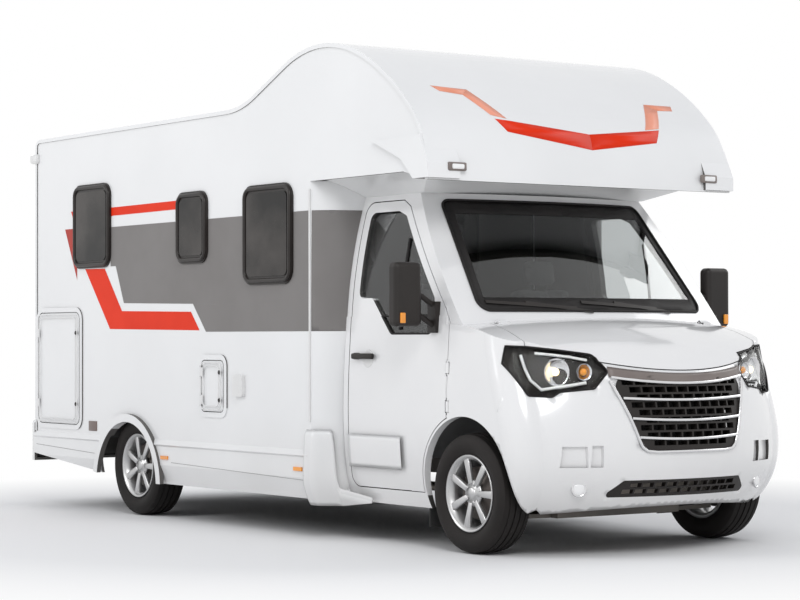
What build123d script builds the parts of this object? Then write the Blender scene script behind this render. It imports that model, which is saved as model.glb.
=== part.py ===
from build123d import *
import os
from math import atan, cos, degrees, hypot, radians, sin

os.makedirs("parts", exist_ok=True)

# Overall sizes in millimetres: X forward, Y left, Z up, ground at z 0
OVERALL_LENGTH = 6040.0
WHEELBASE = 3682.0
FRONT_OVERHANG = 805.0
COACH_WIDTH = 2300.0
NOSE_X = OVERALL_LENGTH / 2
TAIL_X = -OVERALL_LENGTH / 2
XF = NOSE_X - FRONT_OVERHANG
XR = XF - WHEELBASE
COACH_Y = COACH_WIDTH / 2

# Clearances
SEAT_GAP = 0.3
SEAM = 0.8
DOOR_GAP = 6.0
CUT = 20.0

# Coach body: panel thickness, roof line and overcab rise
WALL = 30.0
INNER_Y = COACH_Y - WALL
REAR_BUMPER_DEPTH = 105.0
REAR_X = TAIL_X + REAR_BUMPER_DEPTH
COACH_FRONT_X = XF - 1370.0
WALL_LOW_Z = 540.0
ROOF_Z = 2690.0
ROOF_REAR_R = 60.0
RISE_BACK = 995.0
RISE_R = 860.0
RISE_DEG = 23.5
RISE_RUN = 390.0
DOME_R = 1050.0
DOME_DEG = 22.0
BROW_R = 1600.0
BROW_DEG = 46.0
LIP_R = 600.0
LIP_DROP = 18.0
ALCOVE_SIDE_Z = 2178.0
RAIL_WIDTH = 26.0
RAIL_PROUD = 7.0

# Floor, chassis rails and skirts
FLOOR_Z = 520.0
FLOOR_T = 40.0
RAIL_Y = 430.0
RAIL_W = 60.0
RAIL_H = 120.0
RAIL_WEB = 8.0
CROSS_PITCH = 540.0
CROSS_W = 60.0
CROSS_H = 80.0
SKIRT_T = 20.0
SKIRT_LIP_Z = 505.0
SKIRT_CREASE_Z = 368.0
SKIRT_LOW_Z = 240.0
SKIRT_LIP = 24.0
SKIRT_FACE = 12.0
SKIRT_TUCK = 26.0

# Wheels
TYRE_R = 342.0
TYRE_W = 224.0
TREAD_W = 184.0
BEAD_W = 176.0
RIM_SEAT_R = 203.0
RIM_FLANGE_R = 219.0
RIM_FLANGE_W = 9.0
RIM_WALL = 9.0
FRONT_TRACK = 1750.0
REAR_TRACK = 1980.0
SPOKES = 7
SPOKE_T = 26.0
HUB_OFFSET = 60.0
HUB_R = 68.0
BOLT_PCD = 130.0
BOLTS = 5
BOLT_R = 13.0
DISC_R = 150.0
DISC_T = 24.0
STUB_R = 30.0

# Steering axis, leaning inward at the top
KING_Y = 800.0
KING_Z = 230.0
KING_LEAN = 175.0 / 820.0
STRUT_R = 22.0
STRUT_TOP_Z = 1010.0
BALL_R = 14.0

# Wheel arches
FRONT_ARCH_R = 405.0
FRONT_ARCH_LIFT = 30.0
FRONT_HOUSE_R = 428.0
FRONT_HOUSE_Y = 545.0
REAR_ARCH_R = 430.0
REAR_ARCH_Z = 215.0
ARCH_FLANGE = 56.0
ARCH_PROUD = 30.0

# Van cab: heights and plan
CAB_SKIN = 45.0
CAB_REAR_X = XF - 1215.0
CAB_Y = 1010.0
BELT_Z = 1350.0
CAB_TOP_Z = 2080.0
CAB_TOP_Y = 846.0
CAB_BELT_Y = 988.0
CAB_BULGE = 30.0
BUMPER_LOW_Z = 236.0
SCREEN_X = XF + 75.0
SCREEN_SWEEP = 160.0
SCREEN_RAKE = 575.0 / 700.0
SCREEN_DIP = 100.0
SCREEN_LOW_Y = 850.0
SCREEN_TOP_Y = 752.0
SCREEN_FOOT = 22.0
SCREEN_HEAD = 45.0
SCREEN_ROUND = 60.0
HOOD_R = 1460.0
HOOD_START = (XF + 795.0, 984.0)
HOOD_DEG = 138.0
HOOD_ARC = 42.0
HOOD_CROWN = 70.0
CORNER_BACK = 430.0
CORNER_MID = 290.0
CORNER_FRONT = 235.0
CORNER_IN = 140.0
NOSE_SWELL = 7.5

# Cab plan sections: height, reach ahead of the front axle, half width, corner sweep
CAB_SECTIONS = [
    (BUMPER_LOW_Z, 640.0, 950.0, 20.0),
    (520.0, FRONT_OVERHANG - NOSE_SWELL, 1000.0, 20.0),
    (1000.0, 745.0, 1008.0, 75.0),
    (BELT_Z, 700.0, CAB_BELT_Y, 95.0),
]

# Cab doors
DOOR_LOW_Z = 330.0
DOOR_TOP_Z = 2040.0
DOOR_REAR_X = XF - 1160.0
DOOR_FRONT_X = XF - 155.0
ARCH_STRIP = 20.0
BONNET_X = XF + 30.0
BONNET_Y = 835.0
BONNET_BOW = 105.0
BONNET_FLARE = 28.0
BONNET_HINGE_Y = 770.0
BONNET_HINGE_Z = 1310.0
HOOD_EDGE_Z = 1034.0
HOOD_EDGE_RISE = 49.0
HOOD_EDGE_Y = 530.0
LAMP_ROUND = 22.0
LAMP_X = XF + 325.0
GRILLE_TOP_Y = 490.0
GRILLE_TOP_Z = 1008.0
GRILLE_LOW_Y = 345.0
GRILLE_LOW_Z = 590.0
BUMPER_X = XF + 360.0
BUMPER_BACK = 95.0
BUMPER_STEP_Z = 690.0
DOOR_GLASS_IN = 18.0
DOOR_HINGES_Z = (830.0, 1050.0)
DOOR_HINGE_Y = 1004.0
DOOR_IN_Y = 770.0
DOOR_CORNER = 40.0
DOOR_ROUND = 70.0
DOOR_DIP = 110.0
PILLAR_W = 85.0
SASH = 62.0
MIRROR_BASE = 160.0
WINDOW_ROUND = 45.0
DOOR_REBATE = 8.0
TOE_X = XF - 480.0
STEP_Y = 900.0
TOE_Z = 830.0
BULKHEAD_X = XF - 215.0
BULKHEAD_Z = 1290.0
DASH_DEPTH = 330.0
DASH_H = 380.0
DASH_Z = 1290.0
DASH_Y = 900.0
DRIVER_Y = 430.0
WHEEL_GRIP_R = 190.0
WHEEL_TUBE_R = 16.0
WHEEL_HUB_R = 70.0
COLUMN_LEN = 150.0
COLUMN_Z = 1180.0
COLUMN_DEG = 40.0
SEAT_X = XF - 1080.0
SEAT_D = 480.0
SEAT_W = 480.0
SEAT_Z = 980.0
SEAT_PAD = 110.0
SEAT_LEAN = 110.0
SEAT_TOP_Z = 1720.0
MESH_ROWS = 9
MESH_COLS = 8
MESH_RIM = 26.0
MESH_PITCH_Y = 78.0
MESH_PITCH_Z = 42.0
MESH_BAR = 11.0
INTAKE_ROWS = 2
INTAKE_COLS = 6
INTAKE_LOW_Z = 366.0
INTAKE_PITCH_Z = 36.0
INTAKE_HALF_Y = 440.0
INTAKE_TAPER = 50.0
INTAKE_TOP = (430.0, 430.0)
INTAKE_FOOT = (540.0, 335.0)
GRILLE_TAPER = (GRILLE_TOP_Y - GRILLE_LOW_Y) / (GRILLE_TOP_Z - GRILLE_LOW_Z)
MIRROR_X = XF - 310.0
MIRROR_Y = 1190.0
MIRROR_Z = 1470.0
MIRROR_D = 90.0
MIRROR_W = 190.0
MIRROR_H = 370.0
MIRROR_ROOT = 15.0
MIRROR_ROOT_Y = 985.0
MIRROR_DROP = 130.0
MIRROR_FOOT_H = 180.0
MIRROR_FOOT_W = 80.0
MIRROR_ARM_R = 17.0
MIRROR_FOOT = 60.0
WIPER_TIPS_Y = (-790.0, -160.0)
WIPER_Z = BELT_Z + 62.0
WIPER_DEG = 3.5
WIPER_W = 18.0
WIPER_LEN = 580.0
WIPER_T = 12.0
ROOF_HATCH = 500.0
ROOF_HATCH_AHEAD = 1900.0
ROOF_RIM_H = 40.0
ROOF_LID_H = 50.0
HOUSE_X = 430.0
HOUSE_Y = 850.0
HOUSE_Z = 800.0
HOUSE_T = 12.0
RAIL_REACH = 560.0
JACK_X = -535.0
JACK_H = 20.0
BEAM_Y = 600.0
FAIRING_LOW_Z = 300.0
FAIRING_BOW = 22.0
FAIRING_SECTIONS = [
    (FAIRING_LOW_Z, CAB_BELT_Y),
    (BELT_Z, CAB_BELT_Y),
    ((BELT_Z + CAB_TOP_Z) / 2, (CAB_BELT_Y + CAB_TOP_Y) / 2 + CAB_BULGE),
    (CAB_TOP_Z, CAB_TOP_Y),
    (ALCOVE_SIDE_Z, CAB_TOP_Y - CAB_BULGE),
]
BUMPER_REAR_Z = 320.0
BUMPER_REAR_H = 300.0
BUMPER_ROUND = 90.0
PANE_PROUD = 6.0
REAR_LAMP_Y = 1020.0
REAR_LAMP_Z = 900.0
REAR_LAMP_W = 120.0
REAR_LAMP_H = 420.0
REAR_LAMP_T = 30.0
MARKERS_AHEAD = (1970.0, 3640.0)
MARKER_Z = 420.0
MARKER_W = 95.0
MARKER_H = 24.0
MARKER_T = 9.0
MOULD_T = 20.0
MOULD_LEN = 545.0
MOULD_WRAP = 210.0
CROWN_DROP = 10.0
GROOVES_Y = (-60.0, -20.0, 20.0, 60.0)
GROOVE_W = 11.0
GROOVE_D = 8.0
WINDOW_IN_R = 92.0
WINDOW_OUT_R = 172.0
HUB_LEN = 70.0
DISC_IN = 48.0
KNUCKLE_R = 36.0
KNUCKLE_LEN = 290.0
BOSS_R = 52.0
BOSS_LEN = 80.0
STUB_REACH = 80.0
ARM_LEN = 130.0
BALL_DEPTH = 50.0
STRUT_DEPTH = 90.0
ARM_Z = 188.0
ARM_T = 24.0
ARM_ROOT_W = 110.0
SUBFRAME_L = 330.0
SUBFRAME_Y = 400.0
SUBFRAME_H = 95.0
TOWER_W = 140.0
TOWER_Y = 520.0
TOWER_REACH = 170.0
AXLE_R = 45.0
AXLE_IN = 20.0
SPRING_LEN = 620.0
SPRING_EYE_Z = 372.0
SPRING_LOW_Z = 286.0
SPRING_T = 14.0
SPRING_W = 70.0
ENGINE_X = 200.0
ENGINE_L = 460.0
ENGINE_W = 720.0
ENGINE_H = 640.0
PIPE_R = 28.0
PIPE_Z = 320.0
PIPE_IN_Y = 250.0
PIPE_Y = 540.0
SILENCER_X = REAR_X + 2700.0
SILENCER_L = 640.0
SILENCER_R = 85.0
SILENCER_Y = 600.0
TANKS = [(600.0, 760.0, 700.0, 440.0, 230.0), (-400.0, 900.0, 760.0, 520.0, 220.0)]
MUDFLAP_BACK = 412.0
MUDFLAP_Y = 870.0
MUDFLAP_T = 8.0
MUDFLAP_W = 150.0
MUDFLAP_H = 110.0
INLET_AHEAD = 2933.0
INLET_Z = 918.0
INLET_W = 120.0
INLET_H = 140.0
INLET_T = 26.0
HINGE_PIN_R = 6.0
HINGE_KNUCKLE_R = 13.0
HINGE_LEN = 60.0
GLASS_T = 6.0


# Roof line from the rear corner, up the overcab rise and round to the front lip
def roof_path():
    back = Line((REAR_X, WALL_LOW_Z), (REAR_X, ROOF_Z - ROOF_REAR_R))
    corner = JernArc(back @ 1, (0, 1), ROOF_REAR_R, -90)
    flat = Line(corner @ 1, (COACH_FRONT_X - RISE_BACK, ROOF_Z))
    rise = JernArc(flat @ 1, (1, 0), RISE_R, RISE_DEG)
    ramp = Line(rise @ 1, (rise @ 1) + (rise % 1) * RISE_RUN)
    dome = JernArc(ramp @ 1, ramp % 1, DOME_R, -RISE_DEG - DOME_DEG)
    brow = JernArc(dome @ 1, dome % 1, BROW_R, DOME_DEG - BROW_DEG)
    lip = JernArc(brow @ 1, brow % 1, LIP_R, BROW_DEG - 90)
    return Line(lip @ 1, (lip @ 1) - (0, LIP_DROP))


with BuildSketch(Plane.XZ) as coach_outline:
    with BuildLine() as coach_line:
        lip_end = roof_path() @ 1
        Polyline(
            lip_end,
            (lip_end.X - 250, ALCOVE_SIDE_Z),
            (COACH_FRONT_X, ALCOVE_SIDE_Z),
            (COACH_FRONT_X, WALL_LOW_Z),
            (REAR_X, WALL_LOW_Z),
        )
    make_face()

ALCOVE_X = lip_end.X
ALCOVE_LIP_Z = lip_end.Y


# Band of a given width along the inside of the roof line
def roof_band(width):
    with BuildSketch(Plane.XZ) as band:
        with BuildLine():
            roof_path()
            offset(amount=width, side=Side.RIGHT)
        make_face()
    return band.sketch


# Rounded rectangle on a coach side, given by its distance ahead of the rear wall
def side_rect(ahead, low, width, height, radius, grow=0.0):
    with BuildSketch(Plane.XZ) as rect:
        with Locations((REAR_X + ahead + width / 2, low + height / 2)):
            RectangleRounded(width + 2 * grow, height + 2 * grow, radius + grow)
    return rect.sketch


# Slab between two Y stations, from a sketch drawn on the XZ plane
def slab(face, y0, y1):
    with BuildPart() as block:
        with Locations((0, max(y0, y1), 0)):
            add(extrude(face, amount=abs(y1 - y0), mode=Mode.PRIVATE))
    return block.part


# Side openings: ahead of rear wall, low edge, width, height, corner radius
WINDOWS_RIGHT = [
    (655.0, 1745.0, 505.0, 545.0, 70.0),
    (2151.0, 1740.0, 353.0, 423.0, 60.0),
    (3012.0, 1583.0, 532.0, 577.0, 70.0),
]
WINDOWS_LEFT = [
    (655.0, 1745.0, 505.0, 545.0, 70.0),
    (1750.0, 1640.0, 700.0, 520.0, 70.0),
]
GARAGE = (60.0, 600.0, 660.0, 810.0, 60.0)
TOILET = (2450.0, 740.0, 290.0, 340.0, 40.0)
ENTRY = (3060.0, 580.0, 560.0, 1680.0, 80.0)
FRAME_LAP = 26.0
FRAME_PROUD = 14.0
HATCH_RIM = 34.0
HATCH_PROUD = 9.0
HATCH_LIP = 14.0
HATCH_HINGES = (0.22, 0.78)


# Hangs a leaf on its carrier: a pin on the carrier and an eye with an arm on the leaf
def hang(leaf, carrier, point, toward, inward):
    toward, inward = Vector(*toward), Vector(*inward)
    place = Plane(point, x_dir=toward, z_dir=toward.cross(inward)).location
    pin = place * Cylinder(HINGE_PIN_R, HINGE_LEN + 4 * DOOR_GAP)
    pin_room = place * Cylinder(HINGE_PIN_R + DOOR_GAP, HINGE_LEN + 6 * DOOR_GAP)
    pocket = place * Cylinder(HINGE_KNUCKLE_R + DOOR_GAP, HINGE_LEN + 2 * DOOR_GAP)
    arm = Pos(0, HINGE_PIN_R, 0) * Box(
        3 * HINGE_KNUCKLE_R, 2 * HINGE_PIN_R, HINGE_LEN, align=(Align.MIN, Align.CENTER, Align.CENTER)
    )
    eye = Cylinder(HINGE_KNUCKLE_R, HINGE_LEN) + arm - Cylinder(HINGE_PIN_R + SEAT_GAP, HINGE_LEN)
    return leaf - pocket - pin_room + place * eye, carrier - pocket + pin


# Right and left coach side walls
def side_wall(sign, windows, hatches):
    outer, inner = sign * COACH_Y, sign * INNER_Y
    with BuildPart() as wall:
        add(slab(coach_outline.sketch - roof_band(RAIL_WIDTH), outer, inner))
        for ahead, low, width, height, radius in windows + hatches:
            cut = side_rect(ahead, low, width, height, radius)
            add(slab(cut, outer + sign * CUT, inner - sign * CUT), mode=Mode.SUBTRACT)
        for ahead, low, width, height, radius in hatches:
            rim = side_rect(ahead, low, width, height, radius, HATCH_RIM)
            rim -= side_rect(ahead, low, width, height, radius)
            add(slab(rim, outer + sign * HATCH_PROUD, outer))
            stop = side_rect(ahead, low, width, height, radius)
            stop -= side_rect(ahead, low, width, height, radius, -HATCH_LIP)
            add(slab(stop, inner + sign * DOOR_GAP, inner))
        with Locations((XR, 0, REAR_ARCH_Z)):
            Cylinder(REAR_ARCH_R, 2 * COACH_Y + 8 * CUT, rotation=(90, 0, 0), mode=Mode.SUBTRACT)
    return wall.part


# Flush hatch panel that closes a side opening
def hatch_panel(sign, opening):
    ahead, low, width, height, radius = opening
    outer, inner = sign * COACH_Y, sign * INNER_Y
    with BuildPart() as panel:
        face = side_rect(ahead, low, width, height, radius, -DOOR_GAP)
        add(slab(face, outer + sign * HATCH_PROUD, inner + sign * 2 * DOOR_GAP))
    return panel.part


side_wall_right = side_wall(-1, WINDOWS_RIGHT, [GARAGE, TOILET])
side_wall_left = side_wall(1, WINDOWS_LEFT, [ENTRY])
garage_door = hatch_panel(-1, GARAGE)
toilet_hatch = hatch_panel(-1, TOILET)
entry_door = hatch_panel(1, ENTRY)
HATCH_HINGE_Y = COACH_Y + HATCH_PROUD
garage_hinge_x = REAR_X + GARAGE[0] + DOOR_GAP / 2
toilet_hinge_x = REAR_X + TOILET[0] + DOOR_GAP / 2
entry_hinge_x = REAR_X + ENTRY[0] + ENTRY[2] - DOOR_GAP / 2
for share in HATCH_HINGES:
    spot = (garage_hinge_x, -HATCH_HINGE_Y, GARAGE[1] + share * GARAGE[3])
    garage_door, side_wall_right = hang(garage_door, side_wall_right, spot, (1, 0, 0), (0, 1, 0))
    spot = (toilet_hinge_x, -HATCH_HINGE_Y, TOILET[1] + share * TOILET[3])
    toilet_hatch, side_wall_right = hang(toilet_hatch, side_wall_right, spot, (1, 0, 0), (0, 1, 0))
    spot = (entry_hinge_x, HATCH_HINGE_Y, ENTRY[1] + share * ENTRY[3])
    entry_door, side_wall_left = hang(entry_door, side_wall_left, spot, (-1, 0, 0), (0, -1, 0))


# Van cab as one closed form, shrunk by an inset; the inner form runs out at rear, top and base
def cab_form(inset):
    opened = 4 * CUT if inset else 0.0
    rear = CAB_REAR_X - opened
    with BuildPart() as form:
        for z, reach, half, sweep_back in CAB_SECTIONS:
            w, x = half - inset, XF + reach - inset
            corner = x - sweep_back
            low = z - opened if z == BUMPER_LOW_Z else z
            with BuildSketch(Plane.XY.offset(low)):
                with BuildLine():
                    side = Line((rear, -w), (corner - CORNER_BACK, -w))
                    turn = ThreePointArc(
                        side @ 1,
                        (corner - CORNER_MID, CORNER_IN * 0.3 - w),
                        (corner - CORNER_FRONT, CORNER_IN - w),
                    )
                    face = ThreePointArc(turn @ 1, (x, 0), (corner - CORNER_FRONT, w - CORNER_IN))
                    back = ThreePointArc(
                        face @ 1, (corner - CORNER_MID, w - CORNER_IN * 0.3), (corner - CORNER_BACK, w)
                    )
                    Polyline(back @ 1, (rear, w), (rear, -w))
                make_face()
        loft()
        with BuildLine(Plane.XZ) as crest:
            heading = (cos(radians(HOOD_DEG)), sin(radians(HOOD_DEG)))
            JernArc(HOOD_START, heading, HOOD_R, HOOD_ARC)
        spine = crest.wires()[0]
        reach_y = CAB_Y + 4 * CUT
        with BuildSketch(Plane(spine @ 0, x_dir=(0, 1, 0), z_dir=spine % 0)):
            with BuildLine():
                crown = ThreePointArc(
                    (-reach_y, inset + HOOD_CROWN), (0, inset), (reach_y, inset + HOOD_CROWN)
                )
                Polyline(crown @ 1, (reach_y, -BELT_Z / 2), (-reach_y, -BELT_Z / 2), crown @ 0)
            make_face()
        sweep(path=spine, mode=Mode.SUBTRACT)
    with BuildPart() as house:
        base_z = BELT_Z - SCREEN_DIP
        with BuildSketch(Plane.XY.offset(base_z)):
            x, w = SCREEN_X + SCREEN_DIP * SCREEN_RAKE - inset, CAB_Y
            with BuildLine():
                bow = ThreePointArc((x - SCREEN_SWEEP, -w), (x, 0), (x - SCREEN_SWEEP, w))
                Polyline(bow @ 1, (rear - 4 * CUT, w), (rear - 4 * CUT, -w), bow @ 0)
            make_face()
        rise = CAB_TOP_Z + opened - base_z
        extrude(amount=rise * hypot(1, SCREEN_RAKE), dir=(-SCREEN_RAKE, 0, 1))
        belt_y, top_y, top = CAB_BELT_Y - inset, CAB_TOP_Y - inset, CAB_TOP_Z + opened
        mid = ((belt_y + top_y) / 2 + CAB_BULGE, (base_z + CAB_TOP_Z) / 2)
        with BuildSketch(Plane.YZ.offset(rear)):
            with BuildLine():
                right = ThreePointArc((-belt_y, base_z), (-mid[0], mid[1]), (-top_y, CAB_TOP_Z))
                left = ThreePointArc((belt_y, base_z), mid, (top_y, CAB_TOP_Z))
                Polyline(right @ 1, (-top_y, top), (top_y, top), left @ 1)
                Line(right @ 0, left @ 0)
            make_face()
        extrude(amount=NOSE_X - rear, mode=Mode.INTERSECT)
    return form.part + house.part


# Prism of a sketch drawn on the XZ plane, through the whole cab width or one side of it
def across(face, y0=-CAB_Y - 4 * CUT, y1=CAB_Y + 4 * CUT):
    return slab(face, y0, y1)


cab_outer = cab_form(0)
cab_inner = cab_form(CAB_SKIN)
cab_skin = cab_outer - cab_inner


# Door, bonnet, lamp, grille and bumper outlines that part the cab skin
def pillar_x(z, back):
    return SCREEN_X - SCREEN_SWEEP - SCREEN_RAKE * (z - BELT_Z) - back


def door_outline(grow):
    with BuildSketch(Plane.XZ) as face:
        with BuildLine():
            Polyline(
                (DOOR_REAR_X, DOOR_LOW_Z),
                (DOOR_FRONT_X, DOOR_LOW_Z),
                (DOOR_FRONT_X, BELT_Z - DOOR_CORNER),
                (pillar_x(BELT_Z + DOOR_CORNER, PILLAR_W), BELT_Z + DOOR_CORNER),
                (pillar_x(DOOR_TOP_Z - DOOR_CORNER, PILLAR_W), DOOR_TOP_Z - DOOR_CORNER),
                (pillar_x(DOOR_TOP_Z - DOOR_CORNER, PILLAR_W) - 2 * DOOR_CORNER, DOOR_TOP_Z),
                (DOOR_REAR_X, DOOR_TOP_Z),
                close=True,
            )
        make_face()
        fillet(face.vertices().filter_by_position(Axis.X, DOOR_REAR_X - 1, DOOR_REAR_X + 1), DOOR_ROUND)
        with Locations((XF, TYRE_R + FRONT_ARCH_LIFT)):
            Circle(FRONT_ARCH_R + ARCH_STRIP, mode=Mode.SUBTRACT)
        if grow:
            offset(amount=grow, mode=Mode.REPLACE)
    return face.sketch


def door_window():
    top_z, dip_z, sill_z = DOOR_TOP_Z - SASH, BELT_Z - DOOR_DIP, BELT_Z + DOOR_DIP
    front = DOOR_FRONT_X - MIRROR_BASE
    with BuildSketch(Plane.XZ) as face:
        with BuildLine():
            Polyline(
                (DOOR_REAR_X + SASH, top_z),
                (pillar_x(top_z, PILLAR_W + SASH) - SASH, top_z),
                (pillar_x(top_z - SASH / 2, PILLAR_W + SASH), top_z - SASH / 2),
                (front, BELT_Z + (pillar_x(BELT_Z, PILLAR_W + SASH) - front) / SCREEN_RAKE),
                (front, dip_z),
                (front - 420, dip_z),
                (front - 640, sill_z),
                (DOOR_REAR_X + SASH, sill_z),
                close=True,
            )
        make_face()
        fillet(face.vertices(), WINDOW_ROUND)
    return face.sketch


def bonnet_plan(grow):
    with BuildSketch() as face:
        with BuildLine():
            rear = ThreePointArc((BONNET_X, -BONNET_Y), (BONNET_X + BONNET_BOW, 0), (BONNET_X, BONNET_Y))
            Polyline(
                rear @ 1,
                (LAMP_X, BONNET_Y + BONNET_FLARE),
                (NOSE_X, BONNET_Y + BONNET_FLARE),
                (NOSE_X, -BONNET_Y - BONNET_FLARE),
                (LAMP_X, -BONNET_Y - BONNET_FLARE),
                rear @ 0,
            )
        make_face()
        if grow:
            offset(amount=grow, mode=Mode.REPLACE)
    return face.sketch


# Outline of a headlamp seen from the front, top edge first: y, z of each corner
LAMP_POINTS = [
    (1030.0, 1180.0),
    (870.0, 1172.0),
    (555.0, 1128.0),
    (488.0, 1032.0),
    (575.0, 938.0),
    (750.0, 920.0),
    (790.0, 893.0),
    (905.0, 900.0),
]


# Space above the bonnet's front edge: along the tops of the lamps and in a shallow arc between them
def above_edge(rise):
    tops = [(y, z + rise) for y, z in LAMP_POINTS[:3]]
    outer_z = tops[0][1]
    end_z = HOOD_EDGE_Z + HOOD_EDGE_RISE + rise
    with BuildSketch(Plane.YZ) as face:
        with BuildLine():
            brow = ThreePointArc((-HOOD_EDGE_Y, end_z), (0, HOOD_EDGE_Z + rise), (HOOD_EDGE_Y, end_z))
            Polyline(
                brow @ 1,
                *reversed(tops),
                (2 * CAB_Y, outer_z),
                (2 * CAB_Y, 2 * BELT_Z),
                (-2 * CAB_Y, 2 * BELT_Z),
                (-2 * CAB_Y, outer_z),
                *[(-y, z) for y, z in tops],
                brow @ 0,
            )
        make_face()
    return Pos(BONNET_X - BONNET_BOW, 0, 0) * extrude(face.sketch, NOSE_X)


def lamp_outline(grow):
    with BuildSketch(Plane.YZ) as face:
        with BuildLine():
            Polyline(*LAMP_POINTS, close=True)
        make_face()
        fillet(face.vertices(), LAMP_ROUND)
        if grow:
            offset(amount=grow, mode=Mode.REPLACE)
        mirror(about=Plane.YZ)
    return face.sketch


def grille_outline(grow):
    with BuildSketch(Plane.YZ) as face:
        with BuildLine():
            Polyline(
                (GRILLE_TOP_Y, GRILLE_TOP_Z),
                (GRILLE_LOW_Y, GRILLE_LOW_Z),
                (-GRILLE_LOW_Y, GRILLE_LOW_Z),
                (-GRILLE_TOP_Y, GRILLE_TOP_Z),
                close=True,
            )
        make_face()
        fillet(face.vertices().group_by(Axis.Z)[0], 70)
        if grow:
            offset(amount=grow, mode=Mode.REPLACE)
    return face.sketch


def intake_outline(grow):
    with BuildSketch(Plane.YZ) as face:
        with BuildLine():
            Polyline(
                INTAKE_TOP,
                INTAKE_FOOT,
                (-INTAKE_FOOT[0], INTAKE_FOOT[1]),
                (-INTAKE_TOP[0], INTAKE_TOP[1]),
                close=True,
            )
        make_face()
        fillet(face.vertices(), 20)
        if grow:
            offset(amount=grow, mode=Mode.REPLACE)
    return face.sketch


def screen_outline(grow):
    with BuildSketch(Plane.YZ) as face:
        with BuildLine():
            Polyline(
                (SCREEN_LOW_Y, BELT_Z + SCREEN_FOOT),
                (SCREEN_TOP_Y, CAB_TOP_Z - SCREEN_HEAD),
                (-SCREEN_TOP_Y, CAB_TOP_Z - SCREEN_HEAD),
                (-SCREEN_LOW_Y, BELT_Z + SCREEN_FOOT),
                close=True,
            )
        make_face()
        fillet(face.vertices(), SCREEN_ROUND)
        if grow:
            offset(amount=grow, mode=Mode.REPLACE)
    return face.sketch


def bumper_side():
    with BuildSketch(Plane.XZ) as face:
        with BuildLine():
            Polyline(
                (BUMPER_X - BUMPER_BACK, BUMPER_LOW_Z - 4 * CUT),
                (BUMPER_X - BUMPER_BACK, BUMPER_STEP_Z),
                (BUMPER_X, LAMP_POINTS[-1][1]),
                (BUMPER_X, BELT_Z),
                (NOSE_X + 4 * CUT, BELT_Z),
                (NOSE_X + 4 * CUT, BUMPER_LOW_Z - 4 * CUT),
                close=True,
            )
        make_face()
    return face.sketch


def wing_side():
    with BuildSketch(Plane.XZ) as face:
        with BuildLine():
            Polyline(
                (DOOR_FRONT_X + DOOR_GAP, DOOR_LOW_Z - DOOR_GAP),
                (DOOR_FRONT_X + DOOR_GAP, BELT_Z),
                (NOSE_X, BELT_Z),
                (NOSE_X, DOOR_LOW_Z - DOOR_GAP),
                close=True,
            )
        make_face()
    return face.sketch


bonnet_zone = extrude(bonnet_plan(0), BELT_Z + CUT) & above_edge(DOOR_GAP)
bonnet_room = extrude(bonnet_plan(DOOR_GAP), BELT_Z + CUT) & above_edge(0)
lamp_zone = Pos(LAMP_X, 0, 0) * extrude(lamp_outline(-SEAM), NOSE_X)
lamp_room = Pos(LAMP_X, 0, 0) * extrude(lamp_outline(0), NOSE_X)
grille_zone = Pos(LAMP_X, 0, 0) * extrude(grille_outline(-SEAM), NOSE_X)
grille_room = Pos(LAMP_X, 0, 0) * extrude(grille_outline(0), NOSE_X)
intake_zone = Pos(LAMP_X, 0, 0) * extrude(intake_outline(-SEAM), NOSE_X)
intake_room = Pos(LAMP_X, 0, 0) * extrude(intake_outline(0), NOSE_X)
screen_zone = Pos(CAB_REAR_X + WALL * 10, 0, 0) * extrude(screen_outline(-SEAM), NOSE_X)
screen_room = Pos(CAB_REAR_X + WALL * 10, 0, 0) * extrude(screen_outline(0), NOSE_X)
bumper_zone = across(bumper_side())
wing_zone = across(wing_side())
arch_room = Pos(XF, 0, TYRE_R + FRONT_ARCH_LIFT) * Cylinder(FRONT_ARCH_R, 4 * CAB_Y, rotation=(90, 0, 0))

nose_skin = cab_skin - arch_room
bonnet = nose_skin & bonnet_zone
nose_rest = nose_skin - bonnet_room
headlamps = nose_rest & lamp_zone
nose_rest = nose_rest - lamp_room
front_bumper = (nose_rest & bumper_zone) - grille_room - intake_room
front_wings = (nose_rest & wing_zone) - bumper_zone
windscreen = (cab_outer - cab_form(GLASS_T)) & screen_zone
cab_shell = cab_skin - arch_room - screen_room - wing_zone - bumper_zone


# Cab doors with their glass, cut from the skin and hung on two upright hinges
def cab_door(sign):
    face = across(door_outline(0), sign * DOOR_IN_Y, sign * (CAB_Y + 4 * CUT))
    sight = across(door_window(), 0, sign * (CAB_Y + 4 * CUT))
    pane = (cab_form(DOOR_GLASS_IN) - cab_form(DOOR_GLASS_IN + GLASS_T)) & sight
    leaf = (cab_skin & face) - sight
    rebate = Pos(DOOR_FRONT_X, sign * (DOOR_HINGE_Y + HINGE_PIN_R / 3 + CAB_Y / 2), 0) * Box(
        2 * DOOR_REBATE, CAB_Y, 2 * BELT_Z
    )
    return leaf - rebate, pane


cab_door_right, door_glass_right = cab_door(-1)
cab_door_left, door_glass_left = cab_door(1)
cab_shell = cab_shell - across(door_outline(DOOR_GAP), DOOR_IN_Y - DOOR_GAP, CAB_Y + 4 * CUT)
cab_shell = cab_shell - across(door_outline(DOOR_GAP), -DOOR_IN_Y + DOOR_GAP, -CAB_Y - 4 * CUT)
door_hinge_x = DOOR_FRONT_X + DOOR_GAP / 2
for z in DOOR_HINGES_Z:
    spot = (door_hinge_x, -DOOR_HINGE_Y, z)
    cab_door_right, front_wings = hang(cab_door_right, front_wings, spot, (-1, 0, 0), (0, 1, 0))
    spot = (door_hinge_x, DOOR_HINGE_Y, z)
    cab_door_left, front_wings = hang(cab_door_left, front_wings, spot, (-1, 0, 0), (0, -1, 0))
bonnet_hinge_x = BONNET_X + BONNET_BOW * (1 - (BONNET_HINGE_Y / BONNET_Y) ** 2) - DOOR_GAP / 2
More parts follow.
